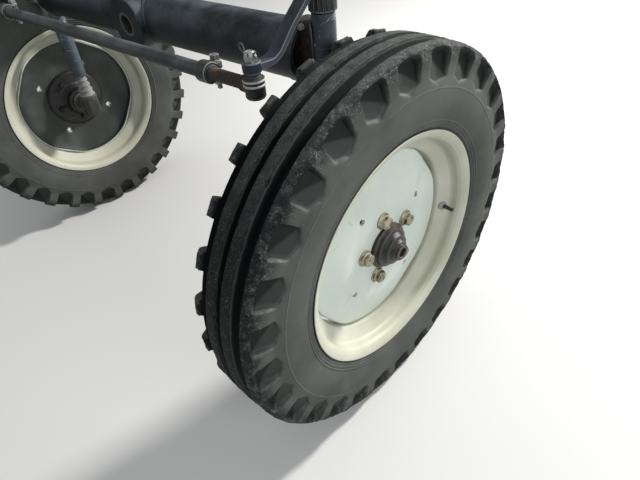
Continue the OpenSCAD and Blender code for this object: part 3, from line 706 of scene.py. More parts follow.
def tyreSurface(look, radius, inner):
    # Rows run along the section and columns round the axle. A row's place is the outline moved
    # along its normal by the grooves, rings and ragged ribs. In the shoulder's rows the columns
    # gather round each pocket's edge, so that its walls follow grid lines; a point inside the
    # pocket goes from the outline to a straight floor by a smooth step over the wall's run.
    random = np.random.default_rng(randomSeed)
    line, along = tyreOutline(look, radius)
    pocketTop = look.innerPocketTop if inner else look.pocketTop
    tangent = np.gradient(line, axis=0)
    normal = unit(np.stack([tangent[:, 1], -tangent[:, 0]], -1))
    crownPart = along < along[np.argmax(line[:, 1] > look.shoulderEdge)]
    sidePart = (line[:, 0] < radius - look.sideDrop) & (line[:, 0] > look.flangeRadius + 2)
    atHeight = lambda z: np.interp(z, line[crownPart, 1], along[crownPart])
    atRadius = lambda r: np.interp(-np.array(r), -line[sidePart, 0], along[sidePart])

    ribs = np.array([pair for pair in look.ribHeights if pair[0] < pocketTop - 1.5])
    top, tip = atHeight(pocketTop), float(atRadius(look.pocketTip))
    pocketRows = top + np.array(look.pocketRows) * (tip - top)
    below = atRadius([look.pocketTip - 1, look.pocketTip - 2])
    rows = np.concatenate([atHeight(ribs[:, 0]), pocketRows, below])
    groove = np.concatenate([ribs[:, 1], np.zeros(len(rows) - len(ribs))])[:, None]
    warp = np.concatenate([np.zeros(len(ribs) - 3), [0.25, 0.6, 0.85], np.ones(len(pocketRows)), [0.5, 0.0]])
    share = np.clip((rows - top) / (tip - top), 0, 1)[:, None]
    base, push = pointsAt(rows, along, line), pointsAt(rows, along, normal)

    perPocket = look.columnsPerPocket
    count, half = look.pockets * perPocket, perPocket // 2
    pitch = 2 * np.pi / look.pockets
    column = np.arange(count)
    inPitch = (column + half + (half if inner else 0)) % perPocket - half
    middle = (column - inPitch) / perPocket * pitch
    halfPitch = base[:, :1] * pitch / 2
    fromTop = share * (tip - top)
    arch = 1.0 if inner else (1 - (1 - np.minimum(fromTop / look.archLength, 1)) ** 3) ** (1 / 3)
    point = np.clip((tip - top - fromTop) / look.tipLength, 0, 1)
    reach = look.pocketHalfWidth * (1.01 - look.pocketTaper * share) * arch * point
    run, lip = look.wallRun, look.lip
    edge = np.maximum(reach, 5 + 5 * (1 - share))
    knot, last = np.abs(inPitch)[None, :], look.floorColumns
    lipKnot = last + 3
    spread = np.where(knot <= last, knot / last * (edge - run), np.select(
        [knot == last + 1, knot == last + 2, knot == lipKnot], [edge - run * 0.45, edge - 0.15, edge + lip],
        edge + lip + (knot - lipKnot) / (half - lipKnot) * (halfPitch - edge - lip)))
    even = knot / half * halfPitch
    aside = even + (spread - even) * warp[:, None]
    sunk = np.clip((reach + lip - aside) / (run + lip), 0, 1)
    pocketRow = np.isin(rows, pocketRows[:-1] if inner else pocketRows[1:-1])[:, None]
    inside = sunk ** 2 * (3 - 2 * sunk) * pocketRow
    angle = math.radians(look.pocketPhase) + middle + np.sign(inPitch) * aside / base[:, :1]

    ragged = random.normal(size=(len(rows), count))
    ragged = (np.roll(ragged, 1, 1) + 2 * ragged + np.roll(ragged, -1, 1)) / 4
    onRib = (groove < 0.03) & (share <= 0.35)
    land = base[:, 1:] > look.landTop - 1
    roughness = onRib * look.ribRagged + (onRib & land) * look.landRagged
    ribFoot = (groove > 0.01) & (groove < 0.2)
    chipped = ribFoot * np.clip(ragged * look.chipDepth - 0.5, 0, look.mostChipped)
    lift = ragged * roughness - chipped - groove * look.grooveDepth
    surface = base[:, None, :] + push[:, None, :] * lift[:, :, None]
    floorTop = look.innerFloorTop if inner else look.floorTop
    floor = np.array(floorTop) * (1 - share) + np.array(look.floorTip) * share
    surface = surface + (floor[:, None, :] - surface) * inside[:, :, None]
    onEdge = np.exp(-((aside - reach) / 1.8) ** 2) * (share > 0)
    sideways = np.sign(inPitch) * aside / look.pocketHalfWidth
    # The pocket's painted shadow: dark over its upper end, with an edge that slants to one side.
    hollow = (look.hollowEnd - look.hollowLean * sideways - share) / look.hollowFade + 0.5
    hollow = np.clip(hollow, 0, 1)
    values = {"floor": np.clip(inside * 1.5 - 0.5, 0, 1) * (1 - hollow), "deep": groove * np.ones(count),
              "hollow": np.clip(inside * 1.6 - 0.3, 0, 1) * hollow,
              "tread": (share < 0.06) * (groove < 0.03) * (1 - inside),
              "chalk": land * np.clip(1.25 - share * 2.2, 0, 1) * (1 - inside) * (groove < 0.5),
              # The lip value is a painted highlight along the pocket's edge, stronger on one side.
              "lip": onEdge * np.clip(share * 2.5, 0.2, 1) * np.clip(0.35 + 1.3 * sideways, 0.1, 1)}

    ridges = [(r + d, h) for r in look.rings for d, h in ((0.9, 0), (0.35, 0.4), (-0.35, 0.4), (-0.9, 0))]
    ridges += [(r, 0) for r in np.linspace(318, 268, 10)]
    ridges += [(r + d, h) for r in look.beadRings for d, h in ((1.9, 0), (0.8, 1.2), (-0.8, 1.2), (-1.9, 0))]
    at, height = atRadius([r for r, _ in ridges]), np.array([[h] for _, h in ridges])
    wall = pointsAt(at, along, line) + pointsAt(at, along, normal) * height
    bead = line[line[:, 0] <= look.flangeRadius + 0.7][::12]
    underTread = [(radius - look.treadThickness, z) for z in (45, 20, 0)]
    return surface, angle, values, np.concatenate([wall, bead, look.bead[-1:], look.lining, underTread])


def tyrePart(look, radius):
    # The two halves' fine rows make one strip over the tread. Each sidewall and its lining has
    # half as many columns, and a row of triangles joins it to the strip.
    outer, outerAngle, outerValues, wallLine = tyreSurface(look, radius, False)
    inner, innerAngle, innerValues, _ = tyreSurface(look, radius, True)
    toPoints = lambda surface, angle, flip: np.stack(
        [surface[..., 0] * np.cos(angle), surface[..., 0] * np.sin(angle), surface[..., 1] * flip], -1)
    strip = np.concatenate([toPoints(outer, outerAngle, 1)[::-1], toPoints(inner, innerAngle, -1)[1:]])
    values = {key: np.concatenate([value[::-1], innerValues[key][1:]]) for key, value in outerValues.items()}
    parts = [gridPart(strip, values=values)]
    count = strip.shape[1]
    even = math.radians(look.pocketPhase) + 2 * np.pi * np.arange(count)[::2] / count
    k = np.arange(count // 2)
    a0, a1, a2, b0, b1 = 2 * k, 2 * k + 1, (2 * k + 2) % count, count + k, count + (k + 1) % (count // 2)
    triangles = np.concatenate([np.stack(t, -1) for t in ((a0, a1, b0), (a1, b1, b0), (a1, a2, b1))])
    for flip, edgeRow in ((1, strip[0]), (-1, strip[-1])):
        wall = toPoints(np.repeat(wallLine[:, None, :], count // 2, 1), even[None, :], flip)
        parts += [gridPart(wall), {"points": np.concatenate([edgeRow, wall[0]]), "triangles": triangles,
                                   "quads": np.zeros((0, 4), int), "values": {}}]
    return joined(parts)


def makeTyres():
    radius = nodeRadius("tyre_left", frames["left"]["wheel"])
    part = tyrePart(SimpleNamespace(**tyreLook), radius)
    makeBoth("tyreDetailed", [part], "wheel", "tyreRubber", "tyre", sharp=50)
    print("tyres made")


makeTyres()


rimLook = dict(halfSection=[   # radius, height and rounding, from the well out over the flange and back
    (197.0, 16.0, 7), (222.0, 33.0, 7), (224.6, 39, 7), (225.2, 50.0, 7), (228.6, 57.4, 7), (235.0, 62.6, 9),
    (241.5, 65.6, 9), (246.0, 66.8, 1), (246.2, 64.4, 1), (243.0, 62.4, 6), (236.8, 59.2, 7),
    (231.6, 54.2, 7), (229.2, 48.0, 7), (227.1, 33.0, 5), (200.6, 15.0, 5)])


def makeRims():
    # One side's section and its mirror image go round the axle.
    half = rimLook["halfSection"]
    section = half + [(r, -z, rounding) for r, z, rounding in half[::-1]]
    makeBoth("rimDetailed", [turned(section, 180, 3, support=2.0)], "wheel", "rimPaint", "rim")
    print("rims made")


makeRims()


discLook = dict(bore=42.2, face=26.0, sheet=7.0, flat=118.0, dish=16.0, edge=196.6, lipEnd=-12.0, gap=7.0,
                gapHalfAngle=23.0, gapStart=165.0, holeCircle=120.0, hole=6.2, holeFade=14.0, holePhase=216.3,
                dimpleCircle=150.0, dimple=3.2, dimpleWidth=15.0, columns=180,
                dishEnd=190.0, dishPower=1.35, innerRows=[46, 54, 62, 72, 82, 92, 100],
                outerRows=[142, 148, 154, 160, 166, 172, 178, 183, 187])


def discPart(look):
    # Rows run out over the face, down the lip and back behind it, and columns go round. The edge
    # is drawn in at four places by the squared cosine of the angle. At each small hole a block of
    # cells is warped from a square to a circle: offsets inside it are scaled to the hole's radius,
    # fading out further off.
    step = 2 * np.pi / look.columns
    cell = look.holeCircle * step
    block = 3 * cell
    stations = np.concatenate([[look.bore], look.innerRows, look.holeCircle + cell * np.arange(-4, 5),
                               look.outerRows])
    dished = lambda r: np.clip((r - look.flat) / (look.dishEnd - look.flat), 0, 1.1)
    rise = lambda r: look.face - look.dish * dished(r) ** look.dishPower
    edge, backEdge = look.edge, look.edge - look.sheet
    front = np.stack([stations, rise(stations)], -1)
    backStart = (front[-1][0] - 2, front[-1][1] - look.sheet - 0.4)
    lip = roundedLine([front[-1], (edge, rise(edge)), (edge, look.lipEnd), (backEdge, look.lipEnd),
                       (backEdge, rise(edge) - look.sheet + 1), backStart],
                      [0, 6, 1.2, 1.2, 3, 0], 4, support=1.2)[1:-1]
    line = np.concatenate([front, lip, (front - [0, look.sheet])[::-1]])
    angle = np.arange(look.columns) * step
    toGap = (angle + np.pi / 4) % (np.pi / 2) - np.pi / 4
    fromGap = np.clip(np.abs(toGap) / math.radians(look.gapHalfAngle), 0, 1)
    cut = look.gap * np.cos(fromGap * np.pi / 2) ** 2 * np.ones_like(line[:, :1])
    radius = line[:, :1] - cut * np.clip((line[:, :1] - look.gapStart) / (backEdge - look.gapStart), 0, 1)
    u = radius - look.holeCircle
    v = look.holeCircle * toGap[None, :] * np.ones_like(u)
    square = np.maximum(np.abs(u), np.abs(v))
    scale = look.hole * (square / block) / np.maximum(np.hypot(u, v), 1e-6)
    fade = np.clip((block + look.holeFade - square) / look.holeFade, 0, 1)
    u, v = u + (u * scale - u) * fade, v + (v * scale - v) * fade
    dimpled = np.exp(-((radius - look.dimpleCircle) ** 2 + (look.dimpleCircle * toGap) ** 2)
                     / look.dimpleWidth ** 2)
    height = line[:, 1:] - look.dimple * dimpled * (line[:, 1:] > rise(edge) - look.sheet - 2)
    radius = look.holeCircle + u
    turn = angle - toGap + v / look.holeCircle + math.radians(look.holePhase)
    points = np.stack([radius * np.cos(turn), radius * np.sin(turn), height * np.ones_like(radius)], -1)
    behind = (np.arange(len(line)) >= len(front) + len(lip) // 2).astype(float)[:, None]
    # The rows behind the disc get a painted shade.
    part = gridPart(points, wrapRows=True, values={"grime": behind})
    inHole = (square < block + 0.01).reshape(-1)
    part["quads"] = part["quads"][~inHole[part["quads"]].all(1)]
    parts = [part]
    holeEdge = np.abs(square - block) < 0.01
    row = np.arange(len(line))[:, None]
    for start in range(4):
        near = np.abs((angle - start * np.pi / 2 + np.pi) % (2 * np.pi) - np.pi) < np.pi / 4
        loops = []
        for face in (row < len(stations), row >= len(line) - len(stations)):
            chosen = holeEdge & near[None, :] & face
            order = np.argsort(np.arctan2(v[chosen], u[chosen]))
            loops.append(points[chosen][order])
        parts.append(gridPart(np.stack(loops)))
    return joined(parts)


def makeDiscs():
    part = discPart(SimpleNamespace(**discLook))
    makeBoth("discDetailed", [part], "wheel", "discPaint", "disc", sharp=50)
    print("discs made")


makeDiscs()


boltLook = dict(count=5, circle=68.3, phase=190.6, acrossFlats=24.0, washer=17.5, washerHeight=6.2,
                washerEdge=2.6, spring=13.5, springHeight=1.6, head=8.0, shank=8.0, behind=12.0)


def makeWheelBolts():
    # Washer, spring ring, hexagon and shank, at even angles, each hexagon at a turn of its own.
    look = SimpleNamespace(**boltLook)
    random = np.random.default_rng(randomSeed + 1)
    face = discLook["face"]
    top = face + look.washerHeight
    headLow = top + look.springHeight
    washer = turned([(0, face + 0.05, 0), (look.washer, face + 0.05, 0.6),
                     (look.washer, face + look.washerEdge, 0.9),
                     (look.acrossFlats / 2 + 1.5, top, 0.9), (0, top, 0)], 40)
    spring = ring(0, look.spring, top, headLow, 0.6, 36)
    head = hexHead(look.acrossFlats, look.head, headLow)
    shank = ring(0, look.shank, -look.behind, face, 1.2, 24)
    # The shank behind the disc gets a painted shade.
    shank["values"] = {"grime": np.ones(len(shank["points"]))}
    for side in sides:
        parts = []
        for i in range(look.count):
            turn = turnAbout(aboutZ, look.phase + i * 360 / look.count)
            spin = turnAbout(aboutZ, float(random.uniform(0, 60)))
            parts += [moved(moved(part, (look.circle, 0, 0)), turn=turn)
                      for part in (washer, spring, moved(head, turn=spin), shank)]
        makePiece(f"wheelBoltSet_{side}", parts, frames[side]["wheel"], f"wheel_{side}", "zincFinish",
                  [f"wheel_bolts_{side}"])
    print("wheel bolts made")


makeWheelBolts()


hubLook = dict(
    section=[   # radius, height and rounding; heights count from the axle's middle
        (19.1, -43, 1), (36, -43, 3), (42, -38, 3), (42, -19, 12), (54, -4, 14), (87, 3, 6), (93, 8, 3),
        (93, 18.9, 1), (41.6, 18.9, 0.5), (41.6, 26, 1), (19.1, 26, 1)],
    nose=[      # heights here and below count from the disc's face
        (19.1, 0.1, 0.5), (49, 0.1, 1.2), (49.4, 7, 2.5), (46.5, 9.2, 1), (43, 9.8, 1.2), (42.2, 16, 1.6),
        (40, 17.6, 2), (36.5, 18.6, 2), (33, 24, 3), (31.5, 27.5, 2), (25, 29.5, 2), (22.5, 33, 2),
        (21.6, 35.2, 1), (17.6, 36.4, 1.2), (17, 42, 1.6), (10.5, 42, 1.2), (9.9, 26, 1), (19.1, 24, 1)],
    plug=[(0, 28, 0.8), (10.2, 28, 0.8), (10.2, 31, 0.8), (6, 31.5, 0.8), (5, 36, 0.8), (0, 36.6, 0.8)],
    pinReach=9.6, pinAt=34.0, pinRise=0.4, pinThickness=3.2, openTip=10.5,
    rustAt=[8, 9.5, 15, 17, 35, 38, 42], rustShare=[0, 0.6, 0.5, 0, 0, 0.5, 0.9])


def makeHubs():
    # Turned profiles and a bent pin. Rust follows the height and gathers round the open tip.
    look = SimpleNamespace(**hubLook)
    nose, plug = turned(look.nose, 80, 3), turned(look.plug, 32)
    reach = np.hypot(nose["points"][:, 0], nose["points"][:, 1])
    rusted = np.interp(nose["points"][:, 2], look.rustAt, look.rustShare) + (reach < look.openTip + 2)
    nose["values"] = {"rusted": np.clip(rusted, 0, 1.2)}
    half, at, rod = look.pinReach, look.pinAt, look.pinThickness
    pin = sweep([(-half, 0, at), (0, 0, at + look.pinRise), (half, 0, at)], rod, rod, aboutY, count=10)
    makeBoth("hubTurned", [turned(look.section, 96, 4)], "wheel", "hubBlack", "hub")
    onFace = [moved(part, (0, 0, discLook["face"])) for part in (nose, plug, pin)]
    makeBoth("hubNoseTurned", onFace, "wheel", "noseBlack", "hub_nose")
    print("hubs made")


makeHubs()


valveLook = dict(
    phase=84.6, radius=210.5, height=25.4, lean=-32.0, stemLean=-6.0,
    grommet=[(0, -3.5, 0), (7.6, -3.5, 0.5), (7.6, 0, 0.3), (10, 0.2, 0.5), (10, 2.6, 1.2), (8, 4.4, 1.5),
             (5, 5.2, 1), (0, 5.2, 0)],
    stem=[(0, 4, 0), (5.2, 4, 1), (4.4, 14, 2), (4, 22, 0.4), (3.6, 22.6, 0.3), (3.6, 25, 0.3),
          (4.1, 25.4, 0.3), (4.1, 30, 1.4), (0, 30, 0)])


def makeValves():
    # Two turned profiles, leaned over and brought to their place round the axle.
    look = SimpleNamespace(**valveLook)
    around, at = turnAbout(aboutZ, look.phase), (look.radius, 0, look.height)
    place = lambda part, lean: moved(moved(part, at, turnAbout(aboutY, lean)), turn=around)
    stem, grommet = place(turned(look.stem, 28), look.stemLean), place(turned(look.grommet, 32), look.lean)
    makeBoth("valveStem", [stem], "wheel", "blackRubber", "valve")
    makeBoth("valveGrommet", [grommet], "wheel", "paleRubber")
    print("valves made")


makeValves()


# Beam, pivot and kingpin housings

def nipple():
    # A grease nipple: hexagon, neck and ball head.
    head = turned([(0, 4, 0), (2.8, 4, 0.4), (2.4, 7, 0.6), (3.4, 8.6, 0.6), (3.4, 10.4, 0.6), (1.8, 12, 0.5),
                   (0, 12, 0)], 24, 2, support=0)
    return joined([hexHead(9, 4.5), head])


def boltWithNut(acrossFlats, shank, high, low, tail):
    # Head and washer on top, nut and washer below, along Z.
    nutHeight = acrossFlats * 0.75
    return joined([hexHead(acrossFlats, acrossFlats * 0.62, high + 1.6),
                   ring(0, acrossFlats * 0.62, high, high + 1.6, 0.5, 32),
                   ring(0, shank / 2, low - tail, high, 1.0, 24),
                   moved(hexHead(acrossFlats, nutHeight), (0, 0, low - 1.4 - nutHeight)),
                   ring(0, acrossFlats * 0.6, low - 1.4, low, 0.5, 32)])


beamLook = dict(radius=52.0, bore=43.0, start=29.0, end=kingpinAt - 36, bossRadius=60.0, bossHalf=65.0,
                bushRadius=25.95, pinRadius=20.05, bossBore=26.0, weld=9.0, nippleShare=0.55)


def makeBeam():
    # A tube on both sides of the boss. Its weld runs where the two round surfaces meet: x squared
    # plus z squared is the boss's radius squared.
    look = SimpleNamespace(**beamLook)
    tube = toX(ring(look.bore, look.radius, look.start, look.end, [0, 0, 2.5, 1.5], 128, 4))
    parts = [moved(tube, turn=np.diag([flip, 1, 1])) for flip in (1, -1)]
    turn = roundTurn(260)
    y, z = look.radius * np.cos(turn), look.radius * np.sin(turn)
    x = np.sqrt((look.bossRadius + 0.5) ** 2 - z ** 2)
    for flip in (1, -1):
        path = np.stack([flip * x, y, z], -1)
        outwards = path * [0, 1, 1] / look.radius + path * [1, 0, 1] / look.bossRadius
        parts.append(weldBead(path, outwards, look.weld))
    makePiece("beamTube", parts, beamFrame, "axle", "beamPaint", ["beam"])
    print("beam made")


def makePivot():
    # A boss and its bush, turned about the Y axis, with a grease nipple.
    look = SimpleNamespace(**beamLook)
    place = columns([1, 0, 0], [0, 0, -1], [0, 1, 0], [0, 0, 0])
    half = look.bossHalf
    boss = ring(look.bossBore, look.bossRadius, -half, half, [1.5, 3, 3, 1.5], 128, 4)
    lube = moved(nipple(), (0, 0, look.bossRadius - 1))
    lube = moved(lube, (0, 0, -half * look.nippleShare), turnAbout(aboutX, 90))
    makePiece("pivotBossTurned", [boss, lube], place, "axle", "beamPaint", ["pivot_boss"])
    bush = ring(look.pinRadius, look.bushRadius, -half, half, [1, 0.6, 0.6, 1], 96, 2)
    makePiece("pivotBushTurned", [bush], place, "axle", "dullSteel", ["pivot_bush"])
    print("pivot made")


makeBeam()
makePivot()


housingLook = dict(radius=21.0, bore=13.55, low=-246.0, high=70.0, band=9.0, bandStep=0.6,
                   nippleHeight=-160.0, nippleTurn=-96.0)   # degrees round from outwards


def makeHousings():
    # A turned tube with a narrower band at both ends, and a grease nipple.
    look = SimpleNamespace(**housingLook)
    r, low, high, band = look.radius, look.low, look.high, look.band
    small = r - look.bandStep
    tube = turned([(look.bore, low, 1), (small, low, 2), (small, low + band, 0.5), (r, low + band + 1, 0.8),
                   (r, high - band - 1, 0.8), (small, high - band, 0.5), (small, high, 2),
                   (look.bore, high, 1)], 96)
    lube = moved(toX(nipple()), (r - 1, 0, 0))
    lube = moved(lube, (0, 0, look.nippleHeight), turnAbout(aboutZ, look.nippleTurn))
    makeBoth("housingTurned", [tube, lube], "housing", "housingPaint", "housing")
    print("housings made")


makeHousings()


gussetLook = dict(thickness=36.0, rise=57.0, run=96.0, step=48.0, narrow=43.0, foot=12.6, corner=7.0,
                  boltIn=30.5, boltUp=49.0, boltFlats=9.0, boltShank=6.0, boltTail=3.0, weld=7.0)


def makeGussets():
    # A plate with rounded corners, welded along the housing and along the tube, and a bolt.
    look = SimpleNamespace(**gussetLook)
    half = look.thickness / 2
    near, middle, far = kingpinAt - look.foot, kingpinAt - look.step, kingpinAt - look.run
    upper = [(near, look.rise), (middle, look.rise), (far, look.narrow)]
    corners = upper + [(x, -z) for x, z in upper[::-1]]
    outline = roundedLine(corners, [0.5, *[look.corner] * 4, 0.5], 5, closed=True)
    upright = turnAbout(aboutX, 90)
    parts = [moved(plate(outline, -half, half, 3.0, 4), turn=upright)]
    edge = kingpinAt - math.sqrt(housingLook["radius"] ** 2 - half ** 2) - 0.5
    beamEdge = math.sqrt(beamLook["radius"] ** 2 - half ** 2) + 0.6
    z = np.linspace(1 - look.rise, look.rise - 1, 110)
    x = np.linspace(far + 20, beamLook["end"], 50)
    for front in (-1, 1):
        y = front * (half + 0.6)
        path = np.stack([edge + 0 * z, y + 0 * z, z], -1)
        parts.append(weldBead(path, [-1, front, 0], look.weld, closed=False))
        for up in (-1, 1):
            path = np.stack([x, y + 0 * x, up * beamEdge + 0 * x], -1)
            parts.append(weldBead(path, [0, front, up], look.weld - 1, closed=False))
    bolt = boltWithNut(look.boltFlats, look.boltShank, half, -half, look.boltTail)
    bolt = moved(bolt, (kingpinAt - look.boltIn, 0, look.boltUp), upright)
    for side in sides:
        mirror = np.diag([sides[side], 1, 1])
        makePiece(f"gussetPlate_{side}", [moved(part, turn=mirror) for part in parts], beamFrame, "axle",
                  "rustyPlate", [f"gusset_{side}"])
        makePiece(f"gussetBolt_{side}", [moved(bolt, turn=mirror)], beamFrame, "axle", "brightFinish",
                  [])
    print("gussets made")


makeGussets()


# Kingpins, their feet and seals

footLook = dict(pin=13.5, pinTop=144.0, pinLow=-324.0, pinBore=13.55, hubDrop=352.0, block=50.0, corner=11.0,
                blockLow=-377.0, blockTop=-324.0, shoulder=24.0, shoulderEnd=70.0, stub=18.95,
                stubEnd=165.2, ring=28.0, ringHeight=12.0, seal=31.0, sealWidth=5.0)


def makeFeet():
    # A turned pin and ring, a block with cut corners, and a turned stub axle laid along X.
    look = SimpleNamespace(**footLook)
    pin = turned([(0, look.pinLow, 0), (look.pin, look.pinLow, 0), (look.pin, look.pinTop, 1.6),
                  (5, look.pinTop, 0.6), (0, look.pinTop - 3.5, 0)])
    half, cut = look.block / 2, look.block / 2 - look.corner
    outline = roundedLine([(cut, -half), (half, -cut), (half, cut), (cut, half), (-cut, half), (-half, cut),
                           (-half, -cut), (-cut, -half)], 3.0, 4, closed=True)
    block = plate(outline, look.blockLow, look.blockTop, 5.0, 5)
    s, e, sealStart = look.shoulder, look.shoulderEnd, look.shoulderEnd - look.sealWidth
    stub = turned([(0, 10, 0), (s + 3, 10, 2), (s + 1, half + 2, 5), (s, half + 8, 5), (s, sealStart, 1.5),
                   (look.seal, sealStart, 1.2), (look.seal, e, 1.2), (look.stub, e, 0.5),
                   (look.stub, look.stubEnd, 1.5), (0, look.stubEnd, 0)], 72, 4)
    stub = moved(toX(stub), (0, 0, -look.hubDrop))
    low, high, r = look.blockTop, look.blockTop + look.ringHeight, look.ring
    thrust = turned([(look.pinBore, low + 0.1, 0.5), (r - 1.5, low + 0.1, 1), (r, low + 3, 1),
                     (r, high - 2, 1), (r - 2.5, high, 1), (look.pinBore, high, 0.5)], 72)
    makeBoth("kingpinTurned", [pin], "knuckle", "brightFinish", "kingpin")
    makeBoth("stubAxleForged", [block, stub], "knuckle", "greyForging", "stub_axle")
    makeBoth("thrustRingTurned", [thrust], "knuckle", "greyForging", "thrust_ring")
    print("kingpins and stub axles made")


makeFeet()


bootLook = dict(rings=4, low=-312.0, top=-246.3, lowRadius=25.0, topRadius=17.6, neck=4.2, bore=13.8)


def makeBoots():
    # Each ring hangs out like a skirt: from a narrow neck it widens downwards to a rounded lip.
    look = SimpleNamespace(**bootLook)
    step = (look.top - look.low) / look.rings
    profile = [(look.bore, look.low, 0.5)]
    for i in range(look.rings):
        base = look.low + i * step
        lip = look.lowRadius + (look.topRadius - look.lowRadius) * i / (look.rings - 1)
        neck = lip - look.neck
        profile += [(lip - 3.5, base + 0.3, 0.6), (lip, base + 1.2, 1.2), (lip, base + 4.0, 1.4),
                    (neck, base + step * 0.62, 2.5), (neck - 1.6, base + step * 0.9, 1.5),
                    (neck - 1.6, base + step - 0.5, 0.6)]
    boot = turned(profile + [(look.bore, look.top, 0.5)], 80, 3, support=0)
    makeBoth("sealBoot", [boot], "knuckle", "paleRubber", "seal_boot")
    print("seal boots made")


makeBoots()


# Steering arms and their nuts

armLook = dict(
    length=160.0, eyeRadius=15.0, eyeLow=19.5, eyeHigh=36.5, eyeBore=7.55, rootRadius=23.0, rootLow=72.0,
    rootHigh=128.0, rootBore=13.55, width=26.0, thickness=10.4, sectionPoints=56,
    path=[(0, 114, 0), (24, 112, 24), (46, 96, 40), (78, 68, 60), (108, 36, 30), (123, 28, 24),
          (160, 28, 0)],   # forwards, up, bend's radius
    rootFlare=(16, 12), rootFlareRun=52, eyeFlare=(2, 4), eyeFlareRun=40,   # added width and height
    ribs=18, ribLow=73.5, ribHigh=98.0, ribRadius=23.9, ribDepth=1.9)


def makeArms():
    # A bar is swept along a bent path between two turned ends, and grows towards both. The
    # ring's radius drops wherever the sine of some times the angle is small.
    look = SimpleNamespace(**armLook)
    root = ring(look.rootBore, look.rootRadius, look.rootLow, look.rootHigh, [0.8, 2, 3.5, 1.2], 80, 4)
    eye = ring(look.eyeBore, look.eyeRadius, look.eyeLow, look.eyeHigh, [0.6, 2.2, 2.6, 1], 72, 4)
    path = smoothPath([(0, -f, z) for f, z, _ in look.path], [bend for _, _, bend in look.path], 2.5)
    along = lengthsAlong(path)
    fromEnd = along[-1] - along
    nearRoot = np.clip(1 - along / look.rootFlareRun, 0, 1) ** 1.5
    nearEye = np.clip(1 - fromEnd / look.eyeFlareRun, 0, 1) ** 1.5
    width, height = [size + root * nearRoot + end * nearEye for size, root, end in zip(
        (look.width, look.thickness), look.rootFlare, look.eyeFlare)]
    keep = (along > 6) & (fromEnd > 6)
    bar = sweep(path[keep], width[keep], height[keep], aboutX, 6.5, look.sectionPoints)
    column = np.arange(len(bar["points"])) % look.sectionPoints
    rearEdge = np.where((column > 4) & (column < 12), 1.0, 0.3)
    # A painted lit side: the bar's face towards the wheel is made paler, partly as worn paint.
    bar["values"] = {"pale": (bar["points"][:, 0] > look.width / 2 - 0.6) * rearEdge}   # on the wheel's side
    grooves = lambda angle: look.ribDepth * (np.abs(np.sin(angle * look.ribs / 2)) < 0.45)
    ribs = lambda angle, radius: np.where(radius > look.rootRadius - 1, radius - grooves(angle), radius)
    band = ring(look.rootRadius - 4, look.ribRadius, look.ribLow, look.ribHigh, [0.4, 1, 1, 0.4], 216, 2,
                ribs)
    parts = [root, moved(eye, (0, -look.length, 0)), bar]
    makeBoth("steeringArmForged", parts, "knuckle", "armPaint", "steering_arm")
    makeBoth("armRibbedRing", [band], "knuckle", "greasyBlack")
    print("steering arms made")


makeArms()


def castleNut(acrossFlats, low, high, top, bore, teeth=6):
    # A chamfered hexagon with a ring of teeth on it, so that a split pin can pass between them.
    outer, inner, step = acrossFlats / 2 * 0.93, bore + 0.3, 360 / teeth
    section = [(inner, high - 0.5), (outer, high - 0.5), (outer, top), (inner, top)]
    return joined([hexHead(acrossFlats, high - low, low, bore)]
                  + [arcBlock(section, 0.7, i * step + 10, (i + 1) * step - 10) for i in range(teeth)])


def splitPin(half, rod, loop, bend):
    # Along X at height 0, in the XZ plane: two legs side by side, an upturned loop on the inner
    # side, and the ends bent apart on the outer side. Rows are X, Z and the bend's radius.
    gap = rod / 2
    rows = [(half + bend, bend, 0), (half, gap, 2.5), (-half, gap, 2.5),
            (-half - loop * 0.4, gap + loop * 0.5, 5), (-half - loop * 0.7, loop * 1.6, 5),
            (-half - loop * 1.6, loop * 1.7, 5), (-half - loop * 1.9, loop * 0.7, 5),
            (-half - loop, -gap, 5), (-half, -gap, 2.5), (half, -gap, 2.5), (half + bend * 0.8, -bend, 0)]
    path = smoothPath([(x, 0, z) for x, z, _ in rows], [r for _, _, r in rows], 0.8)
    return sweep(path, rod, rod, aboutY, 2.0, 12)


pinNutLook = dict(bore=13.6, washer=23.5, washerHeight=4.0, acrossFlats=40.0, hexHeight=10.0, teeth=6.0,
                  pinHalf=19.5, pinRod=3.2, pinLoop=6.5, pinBend=7.0, pinUp=15.6)


def makePinNuts():
    # A washer, a castle nut and a split pin.
    look = SimpleNamespace(**pinNutLook)
    low = armLook["rootHigh"]
    hexLow = low + look.washerHeight
    hexHigh = hexLow + look.hexHeight
    washer = ring(look.bore, look.washer, low, hexLow, [0.5, 1, 1, 0.5], 72)
    nut = castleNut(look.acrossFlats, hexLow, hexHigh, hexHigh + look.teeth, look.bore)
    pin = moved(splitPin(look.pinHalf, look.pinRod, look.pinLoop, look.pinBend), (0, 0, low + look.pinUp))
    makeBoth("kingpinCastleNut", [washer, nut, pin], "knuckle", "greasyBlack", "kingpin_nut")
    print("kingpin nuts made")


makePinNuts()


# Ball studs and tie rod

ballLook = dict(ball=12.0, centre=-2.0, stud=7.5, neck=5.6, top=51.5, acrossFlats=19.0, seat=36.5,
                hexTop=45.5, nutTop=50.0, threadStart=43.3, threadStep=0.8, threadDepth=0.9, threadRows=10,
                pinHalf=10.0, pinRod=2.4, pinLoop=7.5, pinBend=5.0)


def threadRows(radius, depth, start, step, count):
    # A thread's outline: at every second step the radius is less by its depth.
    return [(radius - (depth if i % 2 else 0), start + i * step) for i in range(count)]


def ballRows(radius, centre, end, count):
    # A ball's outline, from its lowest point up to the end angle.
    turn = np.radians(np.linspace(-90, end, count))
    return [(radius * math.cos(t), centre + radius * math.sin(t)) for t in turn]


